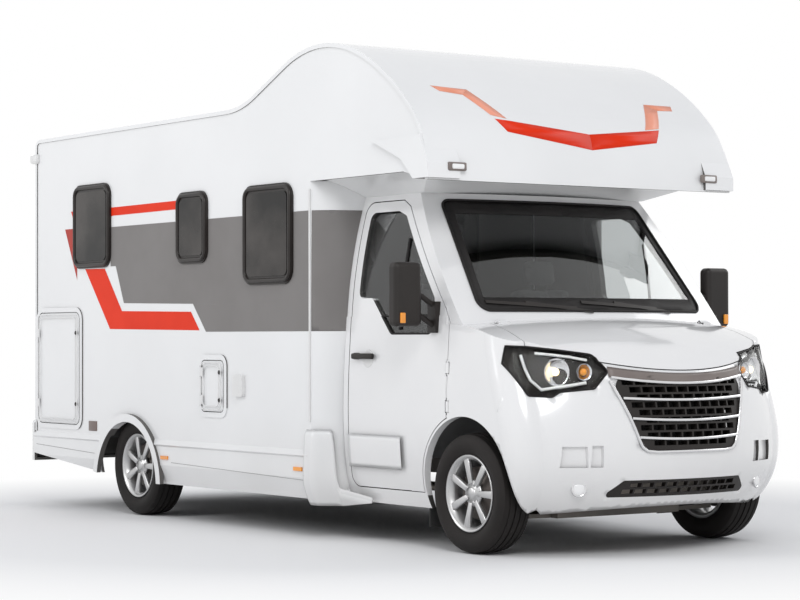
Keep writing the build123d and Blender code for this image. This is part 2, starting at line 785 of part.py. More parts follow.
for sign in (-1, 1):
    spot = (bonnet_hinge_x, sign * BONNET_HINGE_Y, BONNET_HINGE_Z)
    bonnet, front_wings = hang(bonnet, front_wings, spot, (1, 0, 0), (0, 0, -1))

# Cab floor with toe board and bulkhead
floor_rear_x = CAB_REAR_X + SEAT_GAP
with BuildPart() as cab_floor:
    with BuildSketch(Plane.XZ):
        with BuildLine():
            Polyline(
                (floor_rear_x, FLOOR_Z + FLOOR_T),
                (TOE_X, FLOOR_Z + FLOOR_T),
                (BULKHEAD_X, TOE_Z),
                (BULKHEAD_X, BULKHEAD_Z),
            )
            offset(amount=FLOOR_T, side=Side.RIGHT)
        make_face()
    extrude(amount=CAB_Y, both=True)
    add(cab_form(CAB_SKIN + 2 * DOOR_GAP), mode=Mode.INTERSECT)
    with Locations((COACH_FRONT_X, 0, FLOOR_Z)):
        Box(
            floor_rear_x - COACH_FRONT_X, 2 * STEP_Y, FLOOR_T, align=(Align.MIN, Align.CENTER, Align.MIN)
        )
    for sign in (-1, 1):
        with Locations((XF, sign * FRONT_HOUSE_Y, TYRE_R + FRONT_ARCH_LIFT)):
            Cylinder(
                FRONT_HOUSE_R, CAB_Y, rotation=(90 * sign, 0, 0), mode=Mode.SUBTRACT,
                align=(Align.CENTER, Align.CENTER, Align.MAX),
            )

# Dashboard under the windscreen, from door to door
with BuildPart() as dashboard:
    with BuildSketch(Plane.XZ):
        with BuildLine():
            top = ThreePointArc(
                (BULKHEAD_X - DASH_DEPTH, DASH_Z - 30),
                (BULKHEAD_X - DASH_DEPTH / 2, DASH_Z + 20),
                (BULKHEAD_X, DASH_Z),
            )
            Polyline(
                top @ 1,
                (BULKHEAD_X, DASH_Z - DASH_H),
                (BULKHEAD_X - DASH_DEPTH / 3, DASH_Z - DASH_H),
                (BULKHEAD_X - DASH_DEPTH, DASH_Z - DASH_H / 2),
                top @ 0,
            )
        make_face()
    extrude(amount=DASH_Y, both=True)

# Steering wheel on its column, on the left
with BuildPart() as steering_wheel:
    with BuildSketch(Plane.XZ):
        with Locations((WHEEL_GRIP_R, 0)):
            Circle(WHEEL_TUBE_R)
    revolve(axis=Axis.Z)
    Cylinder(WHEEL_HUB_R, 3 * WHEEL_TUBE_R)
    with PolarLocations(0, 3, start_angle=90):
        with Locations((WHEEL_GRIP_R / 2, 0, 0)):
            Box(WHEEL_GRIP_R, 2 * WHEEL_TUBE_R, WHEEL_TUBE_R)
    Cylinder(WHEEL_TUBE_R * 1.4, COLUMN_LEN, align=(Align.CENTER, Align.CENTER, Align.MIN))
column_base = Vector(BULKHEAD_X - DASH_DEPTH, DRIVER_Y, COLUMN_Z)
tilt = Rot(0, 90 + COLUMN_DEG, 0)
steering_wheel = Pos(column_base) * tilt * Pos(0, 0, 2 * WHEEL_TUBE_R - COLUMN_LEN) * steering_wheel.part
steering_wheel = steering_wheel - dashboard.part

# Two cab seats as plain padded forms on their boxes
with BuildPart() as cab_seats:
    for sign in (-1, 1):
        with BuildSketch(Plane.XZ.offset(-sign * DRIVER_Y)):
            with BuildLine():
                Polyline(
                    (SEAT_X, FLOOR_Z + FLOOR_T),
                    (SEAT_X + SEAT_D, FLOOR_Z + FLOOR_T),
                    (SEAT_X + SEAT_D, SEAT_Z),
                    (SEAT_X + SEAT_PAD, SEAT_Z - 30),
                    (SEAT_X - SEAT_LEAN + SEAT_PAD, SEAT_TOP_Z),
                    (SEAT_X - SEAT_LEAN, SEAT_TOP_Z),
                    (SEAT_X - 40, SEAT_Z),
                    close=True,
                )
            make_face()
        extrude(amount=SEAT_W / 2, both=True)

# Grille: rim and brick mesh of thin bars
mesh_cells = []
for row in range(MESH_ROWS):
    low = GRILLE_LOW_Z + MESH_RIM + row * MESH_PITCH_Z
    half = GRILLE_LOW_Y + (low - GRILLE_LOW_Z) * GRILLE_TAPER - MESH_RIM
    for col in range(-MESH_COLS, MESH_COLS + 1):
        y = (col + 0.5 * (row % 2)) * MESH_PITCH_Y
        if abs(y) + MESH_PITCH_Y / 2 < half:
            mesh_cells.append((y, low + MESH_PITCH_Z / 2))
with BuildPart() as mesh_cut:
    with BuildSketch(Plane.YZ.offset(LAMP_X)):
        with Locations(*mesh_cells):
            Rectangle(MESH_PITCH_Y - MESH_BAR, MESH_PITCH_Z - MESH_BAR)
    extrude(amount=NOSE_X - LAMP_X + CUT)
intake_cells = []
for row in range(INTAKE_ROWS):
    low = INTAKE_LOW_Z + row * INTAKE_PITCH_Z
    for col in range(-INTAKE_COLS, INTAKE_COLS + 1):
        y = (col + 0.5 * (row % 2)) * MESH_PITCH_Y
        if abs(y) < INTAKE_HALF_Y - row * INTAKE_TAPER:
            intake_cells.append((y, low))
with BuildPart() as intake_cut:
    with BuildSketch(Plane.YZ.offset(LAMP_X)):
        with Locations(*intake_cells):
            Rectangle(MESH_PITCH_Y - MESH_BAR, INTAKE_PITCH_Z - MESH_BAR)
    extrude(amount=NOSE_X - LAMP_X + CUT)
grille = (cab_skin & grille_zone) - mesh_cut.part
grille = grille + ((cab_skin & intake_zone) - intake_cut.part)

# Mirrors on two arms from the door
cab_seat = cab_form(-SEAT_GAP)


def mirror_piece(sign):
    with BuildPart() as body:
        with Locations((MIRROR_X, sign * MIRROR_Y, MIRROR_Z)):
            Box(MIRROR_D, MIRROR_W, MIRROR_H)
        fillet(body.edges(), MIRROR_D * 0.35)
        for dz in (-MIRROR_FOOT_H / 3, MIRROR_FOOT_H / 3):
            root = Vector(MIRROR_X + MIRROR_ROOT, sign * MIRROR_ROOT_Y, MIRROR_Z + dz - MIRROR_DROP)
            tip = Vector(MIRROR_X, sign * MIRROR_Y, MIRROR_Z + dz)
            with BuildSketch(Plane(root, z_dir=tip - root)):
                Circle(MIRROR_ARM_R)
            extrude(amount=(tip - root).length)
        with Locations((MIRROR_X + MIRROR_ROOT, sign * MIRROR_ROOT_Y, MIRROR_Z - MIRROR_DROP)):
            Box(MIRROR_FOOT_W, MIRROR_FOOT, MIRROR_FOOT_H)
    return body.part - cab_seat


mirror_right = mirror_piece(-1)
mirror_left = mirror_piece(1)

# Wipers lying along the foot of the windscreen: blade and arm
wiper_band = cab_form(-WIPER_T) - cab_seat
with BuildPart() as wiper_cut:
    for tip_y in WIPER_TIPS_Y:
        with BuildSketch(Plane.YZ.offset(CAB_REAR_X + WALL * 10)):
            with Locations((tip_y + WIPER_LEN / 2, WIPER_Z)):
                with Locations(Location((0, 0, 0), -WIPER_DEG)):
                    Rectangle(WIPER_LEN, WIPER_W)
            with Locations((tip_y + WIPER_LEN * 0.8, WIPER_Z - WIPER_W * 0.7)):
                with Locations(Location((0, 0, 0), -2 * WIPER_DEG)):
                    Rectangle(WIPER_LEN * 0.75, WIPER_W)
        extrude(amount=NOSE_X)
wipers = wiper_band & wiper_cut.part

# Roof panel, running over the overcab rise down to the front lip
with BuildPart() as roof_panel:
    add(slab(roof_band(WALL), -INNER_Y, INNER_Y))
roof_rear_cut = Pos(REAR_X - CUT, 0, 0) * Box(
    WALL + 2 * CUT, 3 * COACH_Y, ROOF_Z - ROOF_REAR_R, align=(Align.MIN, Align.CENTER, Align.MIN)
)
hatch_x = REAR_X + ROOF_HATCH_AHEAD
hatch_hole = Pos(hatch_x, 0, ROOF_Z) * Box(ROOF_HATCH, ROOF_HATCH, 4 * WALL)
rim_side = ROOF_HATCH + 2 * WALL
hatch_rim = Pos(hatch_x, 0, ROOF_Z) * (
    Box(rim_side, rim_side, ROOF_RIM_H, align=(Align.CENTER, Align.CENTER, Align.MIN))
    - Box(ROOF_HATCH, ROOF_HATCH, 4 * WALL)
)
roof_panel = roof_panel.part - roof_rear_cut - hatch_hole + hatch_rim
with BuildPart() as roof_hatch:
    with Locations((hatch_x, 0, ROOF_Z + ROOF_RIM_H + DOOR_GAP)):
        Box(
            rim_side,
            rim_side,
            ROOF_LID_H,
            align=(Align.CENTER, Align.CENTER, Align.MIN),
        )
    fillet(roof_hatch.edges().filter_by(Axis.Z), WALL)
    fillet(roof_hatch.faces().sort_by(Axis.Z)[-1].edges(), ROOF_LID_H * 0.6)

roof_hatch = roof_hatch.part
roof_hinge_x = hatch_x - ROOF_HATCH / 2 - WALL - HINGE_PIN_R - DOOR_GAP
roof_hinge_z = ROOF_Z + ROOF_RIM_H + 4 * DOOR_GAP
for sign in (-1, 1):
    ears = Pos(roof_hinge_x, sign * ROOF_HATCH / 4, ROOF_Z) * Box(
        2 * HINGE_PIN_R, HINGE_LEN + 8 * DOOR_GAP, roof_hinge_z + HINGE_PIN_R - ROOF_Z,
        align=(Align.CENTER, Align.CENTER, Align.MIN),
    )
    spot = (roof_hinge_x, sign * ROOF_HATCH / 4, roof_hinge_z)
    roof_hatch, roof_panel = hang(roof_hatch, roof_panel + ears, spot, (1, 0, 0), (0, 0, -1))

# Rear wall
with BuildPart() as rear_wall:
    with Locations((REAR_X, 0, WALL_LOW_Z)):
        Box(
            WALL, 2 * INNER_Y, ROOF_Z - ROOF_REAR_R - WALL_LOW_Z, align=(Align.MIN, Align.CENTER, Align.MIN)
        )

# Edge rails over the joint of roof and side walls
with BuildPart() as edge_rails:
    for sign in (-1, 1):
        add(slab(roof_band(RAIL_WIDTH), sign * (COACH_Y + RAIL_PROUD), sign * INNER_Y))

# Overcab underside: a tray that narrows down to the cab top
def tray(shrink, rise, drop):
    with BuildPart() as block:
        with BuildSketch(Plane.XY.offset(ALCOVE_SIDE_Z + rise)):
            with Locations(((COACH_FRONT_X + ALCOVE_X - WALL) / 2, 0)):
                Rectangle(ALCOVE_X - WALL - COACH_FRONT_X - 2 * shrink, 2 * INNER_Y - 2 * shrink)
        with BuildSketch(Plane.XY.offset(CAB_TOP_Z + drop)):
            front = SCREEN_X - SCREEN_SWEEP / 2 - SCREEN_RAKE * (CAB_TOP_Z - BELT_Z)
            with Locations(((CAB_REAR_X + front) / 2, 0)):
                Rectangle(front - CAB_REAR_X - 2 * shrink, 2 * CAB_TOP_Y - 2 * shrink)
        loft()
    return block.part


alcove_underside = tray(0, WALL, 0) - tray(WALL, WALL, 0)
alcove_underside = alcove_underside - slab(roof_band(WALL + SEAT_GAP), -COACH_Y, COACH_Y)

# Coach floor with the housings over the rear wheels
with BuildPart() as floor_panel:
    with Locations((REAR_X + WALL, 0, FLOOR_Z)):
        Box(
            COACH_FRONT_X - REAR_X - WALL, 2 * INNER_Y, FLOOR_T, align=(Align.MIN, Align.CENTER, Align.MIN)
        )
    for sign in (-1, 1):
        with Locations((XR, sign * INNER_Y, FLOOR_Z)):
            Box(2 * HOUSE_X, 2 * (INNER_Y - HOUSE_Y), 2 * FLOOR_T, mode=Mode.SUBTRACT)
        with BuildSketch(Plane.XZ.offset(-sign * (HOUSE_Y + INNER_Y) / 2)):
            with Locations((XR, (FLOOR_Z + HOUSE_Z) / 2)):
                Rectangle(2 * HOUSE_X, HOUSE_Z - FLOOR_Z)
        extrude(amount=(INNER_Y - HOUSE_Y) / 2, both=True)
        with BuildSketch(Plane.XZ.offset(-sign * (HOUSE_Y + HOUSE_T + COACH_Y) / 2)):
            with Locations((XR, (FLOOR_Z + HOUSE_Z - HOUSE_T) / 2 - CUT)):
                Rectangle(2 * HOUSE_X - 2 * HOUSE_T, HOUSE_Z - HOUSE_T - FLOOR_Z + 2 * CUT)
        extrude(amount=(COACH_Y - HOUSE_Y - HOUSE_T) / 2, both=True, mode=Mode.SUBTRACT)

# Ladder chassis: open rails, cross members and front posts
with BuildPart() as chassis_frame:
    rail_rear, rail_front = REAR_X + 2 * WALL, XF + RAIL_REACH
    for sign in (-1, 1):
        with Locations((rail_rear, sign * RAIL_Y, FLOOR_Z)):
            Box(rail_front - rail_rear, RAIL_W, RAIL_H, align=(Align.MIN, Align.CENTER, Align.MAX))
        with Locations((rail_rear, sign * (RAIL_Y - RAIL_WEB), FLOOR_Z - RAIL_WEB)):
            Box(
                rail_front - rail_rear, RAIL_W, RAIL_H - 2 * RAIL_WEB,
                align=(Align.MIN, Align.CENTER, Align.MAX), mode=Mode.SUBTRACT,
            )
    crossings = int((BULKHEAD_X - rail_rear) / CROSS_PITCH)
    for i in range(crossings + 1):
        with Locations((rail_rear + i * CROSS_PITCH + CROSS_W / 2, 0, FLOOR_Z - RAIL_H / 2)):
            Box(CROSS_W, 2 * RAIL_Y + RAIL_W - RAIL_WEB, CROSS_H)
    with Locations((rail_front, 0, FLOOR_Z - RAIL_H / 2)):
        Box(CROSS_W, 2 * BEAM_Y, RAIL_H)
    for sign in (-1, 1):
        with Locations((JACK_X, sign * RAIL_Y, FLOOR_Z - RAIL_H)):
            Box(2 * RAIL_W, RAIL_W, JACK_H, align=(Align.CENTER, Align.CENTER, Align.MAX))

# Fairings from the coach side to the cab, narrowing with the cab toward the top
def fairing(sign):
    with BuildPart() as panel:
        for z, y in FAIRING_SECTIONS:
            with BuildSketch(Plane.XY.offset(z)):
                with BuildLine():
                    a, b = (COACH_FRONT_X, sign * COACH_Y), (CAB_REAR_X, sign * y)
                    c, d = (CAB_REAR_X, sign * (y - SKIRT_T)), (COACH_FRONT_X, sign * INNER_Y)
                    mid_x, mid_y = (COACH_FRONT_X + CAB_REAR_X) / 2, (COACH_Y + y) / 2
                    ThreePointArc(a, (mid_x + FAIRING_BOW, sign * (mid_y + FAIRING_BOW)), b)
                    Line(b, c)
                    ThreePointArc(
                        c,
                        (mid_x + FAIRING_BOW - SKIRT_T / 2, sign * (mid_y + FAIRING_BOW - 1.2 * SKIRT_T)),
                        d,
                    )
                    Line(d, a)
                make_face()
        loft()
    return panel.part


cab_fairings = fairing(-1) + fairing(1) - tray(-SEAT_GAP, WALL, -SEAT_GAP)

# Side skirts with flared wheel arches
def skirt(sign):
    with BuildPart() as panel:
        with BuildSketch(Plane.YZ.offset(REAR_X)):
            with BuildLine():
                Polyline(
                    (sign * COACH_Y, WALL_LOW_Z),
                    (sign * (COACH_Y + SKIRT_LIP), SKIRT_LIP_Z),
                    (sign * (COACH_Y + SKIRT_FACE), SKIRT_LIP_Z - SKIRT_FACE),
                    (sign * (COACH_Y + SKIRT_FACE), SKIRT_CREASE_Z),
                    (sign * (COACH_Y - SKIRT_TUCK), SKIRT_LOW_Z),
                    (sign * (COACH_Y - SKIRT_TUCK - SKIRT_T), SKIRT_LOW_Z),
                    (sign * (COACH_Y + SKIRT_FACE - SKIRT_T), SKIRT_CREASE_Z),
                    (sign * (COACH_Y + SKIRT_FACE - SKIRT_T), WALL_LOW_Z),
                    close=True,
                )
            make_face()
        extrude(amount=COACH_FRONT_X - REAR_X)
        with BuildSketch(Plane.XZ.offset(-sign * (COACH_Y + ARCH_PROUD))):
            with Locations((XR, REAR_ARCH_Z)):
                Circle(REAR_ARCH_R + ARCH_FLANGE)
                with Locations((0, SKIRT_LOW_Z - REAR_ARCH_Z)):
                    Rectangle(
                        4 * REAR_ARCH_R, 2 * REAR_ARCH_R, align=(Align.CENTER, Align.MAX), mode=Mode.SUBTRACT
                    )
        extrude(amount=sign * ARCH_PROUD)
        with Locations((XR, 0, REAR_ARCH_Z)):
            Cylinder(REAR_ARCH_R, 4 * COACH_Y, rotation=(90, 0, 0), mode=Mode.SUBTRACT)
    return panel.part


skirt_right = skirt(-1)
skirt_left = skirt(1)

# Rear bumper: a rounded shell open to the front
with BuildPart() as rear_bumper:
    with BuildSketch(Plane.XY.offset(BUMPER_REAR_Z)) as bumper_plan:
        with Locations((TAIL_X, 0)):
            Rectangle(REAR_X - TAIL_X, 2 * (COACH_Y + SKIRT_FACE), align=(Align.MIN, Align.CENTER))
        fillet(bumper_plan.vertices().group_by(Axis.X)[0], BUMPER_ROUND)
    extrude(amount=BUMPER_REAR_H)
    top_edges = rear_bumper.faces().sort_by(Axis.Z)[-1].edges()
    fillet(top_edges.filter_by_position(Axis.X, TAIL_X, REAR_X - 1), SKIRT_T * 1.5)
    offset(amount=-SKIRT_T, openings=rear_bumper.faces().sort_by(Axis.X)[-1])


# Window frames lapping the wall and the tinted panes inside them
def window_set(sign, windows):
    frames, panes = [], []
    for ahead, low, width, height, radius in windows:
        lap = side_rect(ahead, low, width, height, radius, FRAME_LAP)
        sight = side_rect(ahead, low, width, height, radius, -FRAME_LAP)
        sleeve = side_rect(ahead, low, width, height, radius, -SEAT_GAP)
        glass = side_rect(ahead, low, width, height, radius, -FRAME_LAP - SEAT_GAP)
        frame = slab(lap - sight, sign * (COACH_Y + FRAME_PROUD), sign * COACH_Y)
        frame += slab(sleeve - sight, sign * COACH_Y, sign * INNER_Y)
        frames.append(frame)
        panes.append(slab(glass, sign * (COACH_Y + FRAME_PROUD + PANE_PROUD), sign * (COACH_Y - PANE_PROUD)))
    return frames, panes


frames_right, panes_right = window_set(-1, WINDOWS_RIGHT)
frames_left, panes_left = window_set(1, WINDOWS_LEFT)
window_frames = Compound(children=frames_right + frames_left)
window_panes = Compound(children=panes_right + panes_left)

# Rear lamp columns on the rear wall
with BuildPart() as rear_lamps:
    for sign in (-1, 1):
        with BuildSketch(Plane.YZ.offset(REAR_X)):
            with Locations((sign * REAR_LAMP_Y, REAR_LAMP_Z)):
                RectangleRounded(REAR_LAMP_W, REAR_LAMP_H, REAR_LAMP_W * 0.35)
        extrude(amount=-REAR_LAMP_T)

# Amber side markers on the skirts
with BuildPart() as marker_lamps:
    for ahead in MARKERS_AHEAD:
        for sign in (-1, 1):
            with Locations((REAR_X + ahead, sign * (COACH_Y + SKIRT_FACE + MARKER_T / 2), MARKER_Z)):
                Box(MARKER_W, MARKER_T, MARKER_H)

# Overcab corner mouldings that wrap from the side round to the front
with BuildPart() as alcove_corners:
    for sign in (-1, 1):
        with BuildSketch(Plane.XZ.offset(-sign * (COACH_Y + MOULD_T))):
            with BuildLine():
                Polyline(
                    (ALCOVE_X - MOULD_LEN, ALCOVE_LIP_Z + 250),
                    (ALCOVE_X - 60, ALCOVE_LIP_Z + 262),
                    (ALCOVE_X + MOULD_T, ALCOVE_LIP_Z + 90),
                    (ALCOVE_X + MOULD_T, ALCOVE_LIP_Z + 10),
                    (ALCOVE_X - 130, ALCOVE_LIP_Z + 10),
                    (ALCOVE_X - 250, ALCOVE_LIP_Z + 130),
                    close=True,
                )
            make_face()
        extrude(amount=sign * (MOULD_T + MOULD_WRAP))
    add(slab(coach_outline.sketch, -COACH_Y, COACH_Y), mode=Mode.SUBTRACT)
    for sign in (-1, 1):
        add(slab(roof_band(RAIL_WIDTH), sign * (COACH_Y + RAIL_PROUD), sign * INNER_Y), mode=Mode.SUBTRACT)

# Tyre with tread grooves, turned about its axle
with BuildPart() as tyre:
    with BuildSketch(Plane.YZ) as section:
        with BuildLine():
            crown = ThreePointArc(
                (-TREAD_W / 2, TYRE_R - CROWN_DROP), (0, TYRE_R), (TREAD_W / 2, TYRE_R - CROWN_DROP)
            )
            left = ThreePointArc(
                crown @ 1, (TYRE_W / 2, (TYRE_R + RIM_SEAT_R) / 2), (BEAD_W / 2, RIM_FLANGE_R + DOOR_GAP)
            )
            seat = Polyline(
                left @ 1,
                (BEAD_W / 2, RIM_SEAT_R + SEAT_GAP),
                (-BEAD_W / 2, RIM_SEAT_R + SEAT_GAP),
                (-BEAD_W / 2, RIM_FLANGE_R + DOOR_GAP),
            )
            ThreePointArc(seat @ 1, (-TYRE_W / 2, (TYRE_R + RIM_SEAT_R) / 2), crown @ 0)
        make_face()
        with Locations(*[(y, TYRE_R) for y in GROOVES_Y]):
            Rectangle(GROOVE_W, 2 * GROOVE_D, mode=Mode.SUBTRACT)
    revolve(axis=Axis.Y)

# Wheel: barrel, seven spokes, hub and brake disc, with the bore that runs on the stub
with BuildPart() as rim:
    with BuildSketch(Plane.YZ):
        with BuildLine():
            half = BEAD_W / 2 + SEAT_GAP
            Polyline(
                (-half - RIM_FLANGE_W, RIM_FLANGE_R),
                (-half, RIM_FLANGE_R),
                (-half, RIM_SEAT_R),
                (half, RIM_SEAT_R),
                (half, RIM_FLANGE_R),
                (half + RIM_FLANGE_W, RIM_FLANGE_R),
                (half + RIM_FLANGE_W, RIM_SEAT_R - RIM_WALL),
                (-half - RIM_FLANGE_W, RIM_SEAT_R - RIM_WALL),
                close=True,
            )
        make_face()
    revolve(axis=Axis.Y)
    with BuildSketch(Plane.XZ.offset(HUB_OFFSET)):
        Circle(RIM_SEAT_R - RIM_WALL / 2)
        with PolarLocations(0, SPOKES):
            with BuildLine():
                w0, w1 = WINDOW_IN_R * 0.30, WINDOW_OUT_R * 0.33
                Polyline(
                    (WINDOW_IN_R, -w0),
                    (WINDOW_OUT_R, -w1),
                    (WINDOW_OUT_R, w1),
                    (WINDOW_IN_R, w0),
                    close=True,
                )
            make_face(mode=Mode.SUBTRACT)
        with PolarLocations(BOLT_PCD / 2, BOLTS):
            Circle(BOLT_R, mode=Mode.SUBTRACT)
    extrude(amount=SPOKE_T)
    with Locations((0, -HUB_OFFSET, 0)):
        Cylinder(HUB_R, HUB_LEN, rotation=(90, 0, 0), align=(Align.CENTER, Align.CENTER, Align.MAX))
    with Locations((0, DISC_IN - HUB_OFFSET, 0)):
        Cylinder(DISC_R, DISC_T, rotation=(90, 0, 0))
    with Locations((0, HUB_LEN - HUB_OFFSET, 0)):
        Cylinder(
            STUB_R + SEAT_GAP, HUB_LEN + SPOKE_T / 2, rotation=(90, 0, 0),
            align=(Align.CENTER, Align.CENTER, Align.MIN), mode=Mode.SUBTRACT,
        )
WHEELS = {
    "front_right": (XF, -FRONT_TRACK / 2),
    "front_left": (XF, FRONT_TRACK / 2),
    "rear_right": (XR, -REAR_TRACK / 2),
    "rear_left": (XR, REAR_TRACK / 2),
}

# Steering knuckle with its stub axle, bored for the ball stud and the strut
king_foot = Vector(XF, -KING_Y, KING_Z)
king = Plane(king_foot, z_dir=(0, KING_LEAN, 1))
with BuildPart() as knuckle:
    with BuildSketch(king):
        Circle(KNUCKLE_R)
    extrude(amount=KNUCKLE_LEN)
    with Locations((XF, KING_LEAN * (TYRE_R - KING_Z) - KING_Y, TYRE_R)):
        Cylinder(BOSS_R, BOSS_LEN, rotation=(90, 0, 0), align=(Align.CENTER, Align.CENTER, Align.MIN))
        Cylinder(
            STUB_R,
            BOSS_LEN + STUB_REACH,
            rotation=(90, 0, 0),
            align=(Align.CENTER, Align.CENTER, Align.MIN),
        )
    with Locations((XF, -KING_Y + 20, TYRE_R)):
        Box(ARM_LEN, KNUCKLE_R, KNUCKLE_R, align=(Align.MAX, Align.CENTER, Align.CENTER))
    with BuildSketch(king):
        Circle(BALL_R + SEAT_GAP)
    extrude(amount=BALL_DEPTH, mode=Mode.SUBTRACT)
    with BuildSketch(king.offset(KNUCKLE_LEN)):
        Circle(STRUT_R + SEAT_GAP)
    extrude(amount=-STRUT_DEPTH, mode=Mode.SUBTRACT)

# Front suspension: cross member, lower arms with ball studs, and struts
with BuildPart() as suspension_half:
    with BuildSketch(Plane.XY.offset(ARM_Z)):
        with BuildLine():
            Polyline(
                (XF - ARM_ROOT_W, -SUBFRAME_Y + RAIL_WEB),
                (XF + ARM_ROOT_W, -SUBFRAME_Y + RAIL_WEB),
                (XF + KNUCKLE_R, -KING_Y - KNUCKLE_R),
                (XF - KNUCKLE_R, -KING_Y - KNUCKLE_R),
                close=True,
            )
        make_face()
    extrude(amount=ARM_T)
    with BuildSketch(king.offset(BALL_DEPTH - DOOR_GAP)):
        Circle(BALL_R)
    extrude(amount=-BALL_DEPTH + DOOR_GAP - (KING_Z - ARM_Z - ARM_T / 2))
with BuildPart() as strut:
    with BuildSketch(king.offset(KNUCKLE_LEN - STRUT_DEPTH + DOOR_GAP)):
        Circle(STRUT_R)
    extrude(amount=STRUT_TOP_Z - KING_Z - KNUCKLE_LEN + STRUT_DEPTH)
with BuildPart() as front_subframe:
    with Locations((XF, 0, ARM_Z)):
        Box(SUBFRAME_L, 2 * SUBFRAME_Y, SUBFRAME_H, align=(Align.CENTER, Align.CENTER, Align.MIN))
    for x in (XF - SUBFRAME_L / 2 + CROSS_W / 2, XF + SUBFRAME_L / 2 - CROSS_W / 2):
        for y in (-RAIL_Y, RAIL_Y):
            with Locations((x, y, ARM_Z)):
                Box(CROSS_W, RAIL_W, FLOOR_Z - RAIL_H - ARM_Z, align=(Align.CENTER, Align.CENTER, Align.MIN))
    add(suspension_half.part)
    add(mirror(suspension_half.part, about=Plane.XZ, mode=Mode.PRIVATE))
front_struts = strut.part + mirror(strut.part, about=Plane.XZ)

# Strut towers on the chassis rails
with BuildPart() as tower:
    with BuildSketch(Plane.YZ.offset(XF - TOWER_W / 2)):
        with BuildLine():
            Polyline(
                (-RAIL_Y - RAIL_W / 2, FLOOR_Z - RAIL_H),
                (-TOWER_Y, FLOOR_Z - RAIL_H),
                (-TOWER_Y, STRUT_TOP_Z - 3 * STRUT_R),
                (-TOWER_Y - TOWER_REACH, STRUT_TOP_Z - 3 * STRUT_R),
                (-TOWER_Y - TOWER_REACH, STRUT_TOP_Z - STRUT_R),
                (-RAIL_Y - RAIL_W / 2, STRUT_TOP_Z - STRUT_R),
                close=True,
            )
        make_face()
    extrude(amount=TOWER_W)
    with BuildSketch(king):
        Circle(STRUT_R + SEAT_GAP)
    extrude(amount=STRUT_TOP_Z, mode=Mode.SUBTRACT)
strut_towers = tower.part + mirror(tower.part, about=Plane.XZ)

# Rear axle: beam, stubs and leaf springs under the rails
with BuildPart() as rear_axle:
    with Locations((XR, 0, TYRE_R)):
        Cylinder(AXLE_R, REAR_TRACK - 2 * AXLE_IN, rotation=(90, 0, 0))
        Cylinder(STUB_R, REAR_TRACK + 2 * HUB_OFFSET - 2 * DOOR_GAP, rotation=(90, 0, 0))
    for sign in (-1, 1):
        with BuildSketch(Plane.XZ.offset(-sign * RAIL_Y)):
            with BuildLine():
                ThreePointArc(
                    (XR - SPRING_LEN, SPRING_EYE_Z), (XR, SPRING_LOW_Z), (XR + SPRING_LEN, SPRING_EYE_Z)
                )
                offset(amount=SPRING_T, side=Side.RIGHT)
            make_face()
        extrude(amount=SPRING_W / 2, both=True)
        with Locations((XR, sign * RAIL_Y, SPRING_LOW_Z - SPRING_T)):
            Box(CROSS_W * 2, SPRING_W, TYRE_R - SPRING_LOW_Z, align=(Align.CENTER, Align.CENTER, Align.MIN))
        for end in (-1, 1):
            with Locations((XR + end * SPRING_LEN, sign * RAIL_Y, FLOOR_Z - RAIL_H)):
                Box(
                    CROSS_W, SPRING_W * 0.8, FLOOR_Z - RAIL_H - SPRING_EYE_Z + SPRING_T * 3,
                    align=(Align.CENTER, Align.CENTER, Align.MAX),
                )

# Engine and gearbox as one block on the subframe
with BuildPart() as engine_block:
    with Locations((XF + ENGINE_X, 0, ARM_Z + SUBFRAME_H)):
        Box(ENGINE_L, ENGINE_W, ENGINE_H, align=(Align.CENTER, Align.CENTER, Align.MIN))
    fillet(engine_block.edges().filter_by(Axis.X), 30)

# Exhaust: pipe and silencer hung from the right rail
with BuildPart() as exhaust:
    with BuildLine() as pipe_line:
        Polyline(
            (XF + ENGINE_X - ENGINE_L / 2, -PIPE_IN_Y, PIPE_Z),
            (XF - 300, -PIPE_IN_Y, PIPE_Z),
            (XF - 520, -PIPE_Y, PIPE_Z),
            (SILENCER_X, -PIPE_Y, PIPE_Z),
        )
    with BuildSketch(Plane(pipe_line.wires()[0] @ 0, z_dir=(-1, 0, 0))):
        Circle(PIPE_R)
    sweep(path=pipe_line.wires()[0], transition=Transition.ROUND)
    with Locations((SILENCER_X, -SILENCER_Y, PIPE_Z)):
        Cylinder(SILENCER_R, SILENCER_L, rotation=(0, 90, 0), align=(Align.CENTER, Align.CENTER, Align.MAX))
    for x in (SILENCER_X - SILENCER_L * 0.2, SILENCER_X - SILENCER_L * 0.8):
        with Locations((x, -RAIL_Y, FLOOR_Z - RAIL_H)):
            Box(SPRING_T, SILENCER_Y - RAIL_Y, SILENCER_R / 2, align=(Align.CENTER, Align.MAX, Align.MAX))

# Fuel and waste tanks under the floor, on the left
with BuildPart() as tanks:
    for x, length, y, width, height in TANKS:
        with Locations((x, y, FLOOR_Z)):
            Box(length, width, height, align=(Align.CENTER, Align.CENTER, Align.MAX))
    fillet(tanks.edges().filter_by(Axis.Z), 50)

# Front mudflaps under the sills
with BuildPart() as mudflaps:
    for sign in (-1, 1):
        with Locations((XF - MUDFLAP_BACK, sign * MUDFLAP_Y, BUMPER_LOW_Z)):
            Box(MUDFLAP_T, MUDFLAP_W, MUDFLAP_H, align=(Align.CENTER, Align.CENTER, Align.MAX))

# Mains inlet on the right wall
with BuildPart() as power_inlet:
    with BuildSketch(Plane.XZ.offset(COACH_Y)):
        with Locations((REAR_X + INLET_AHEAD, INLET_Z)):
            RectangleRounded(INLET_W, INLET_H, 18)
    extrude(amount=INLET_T)

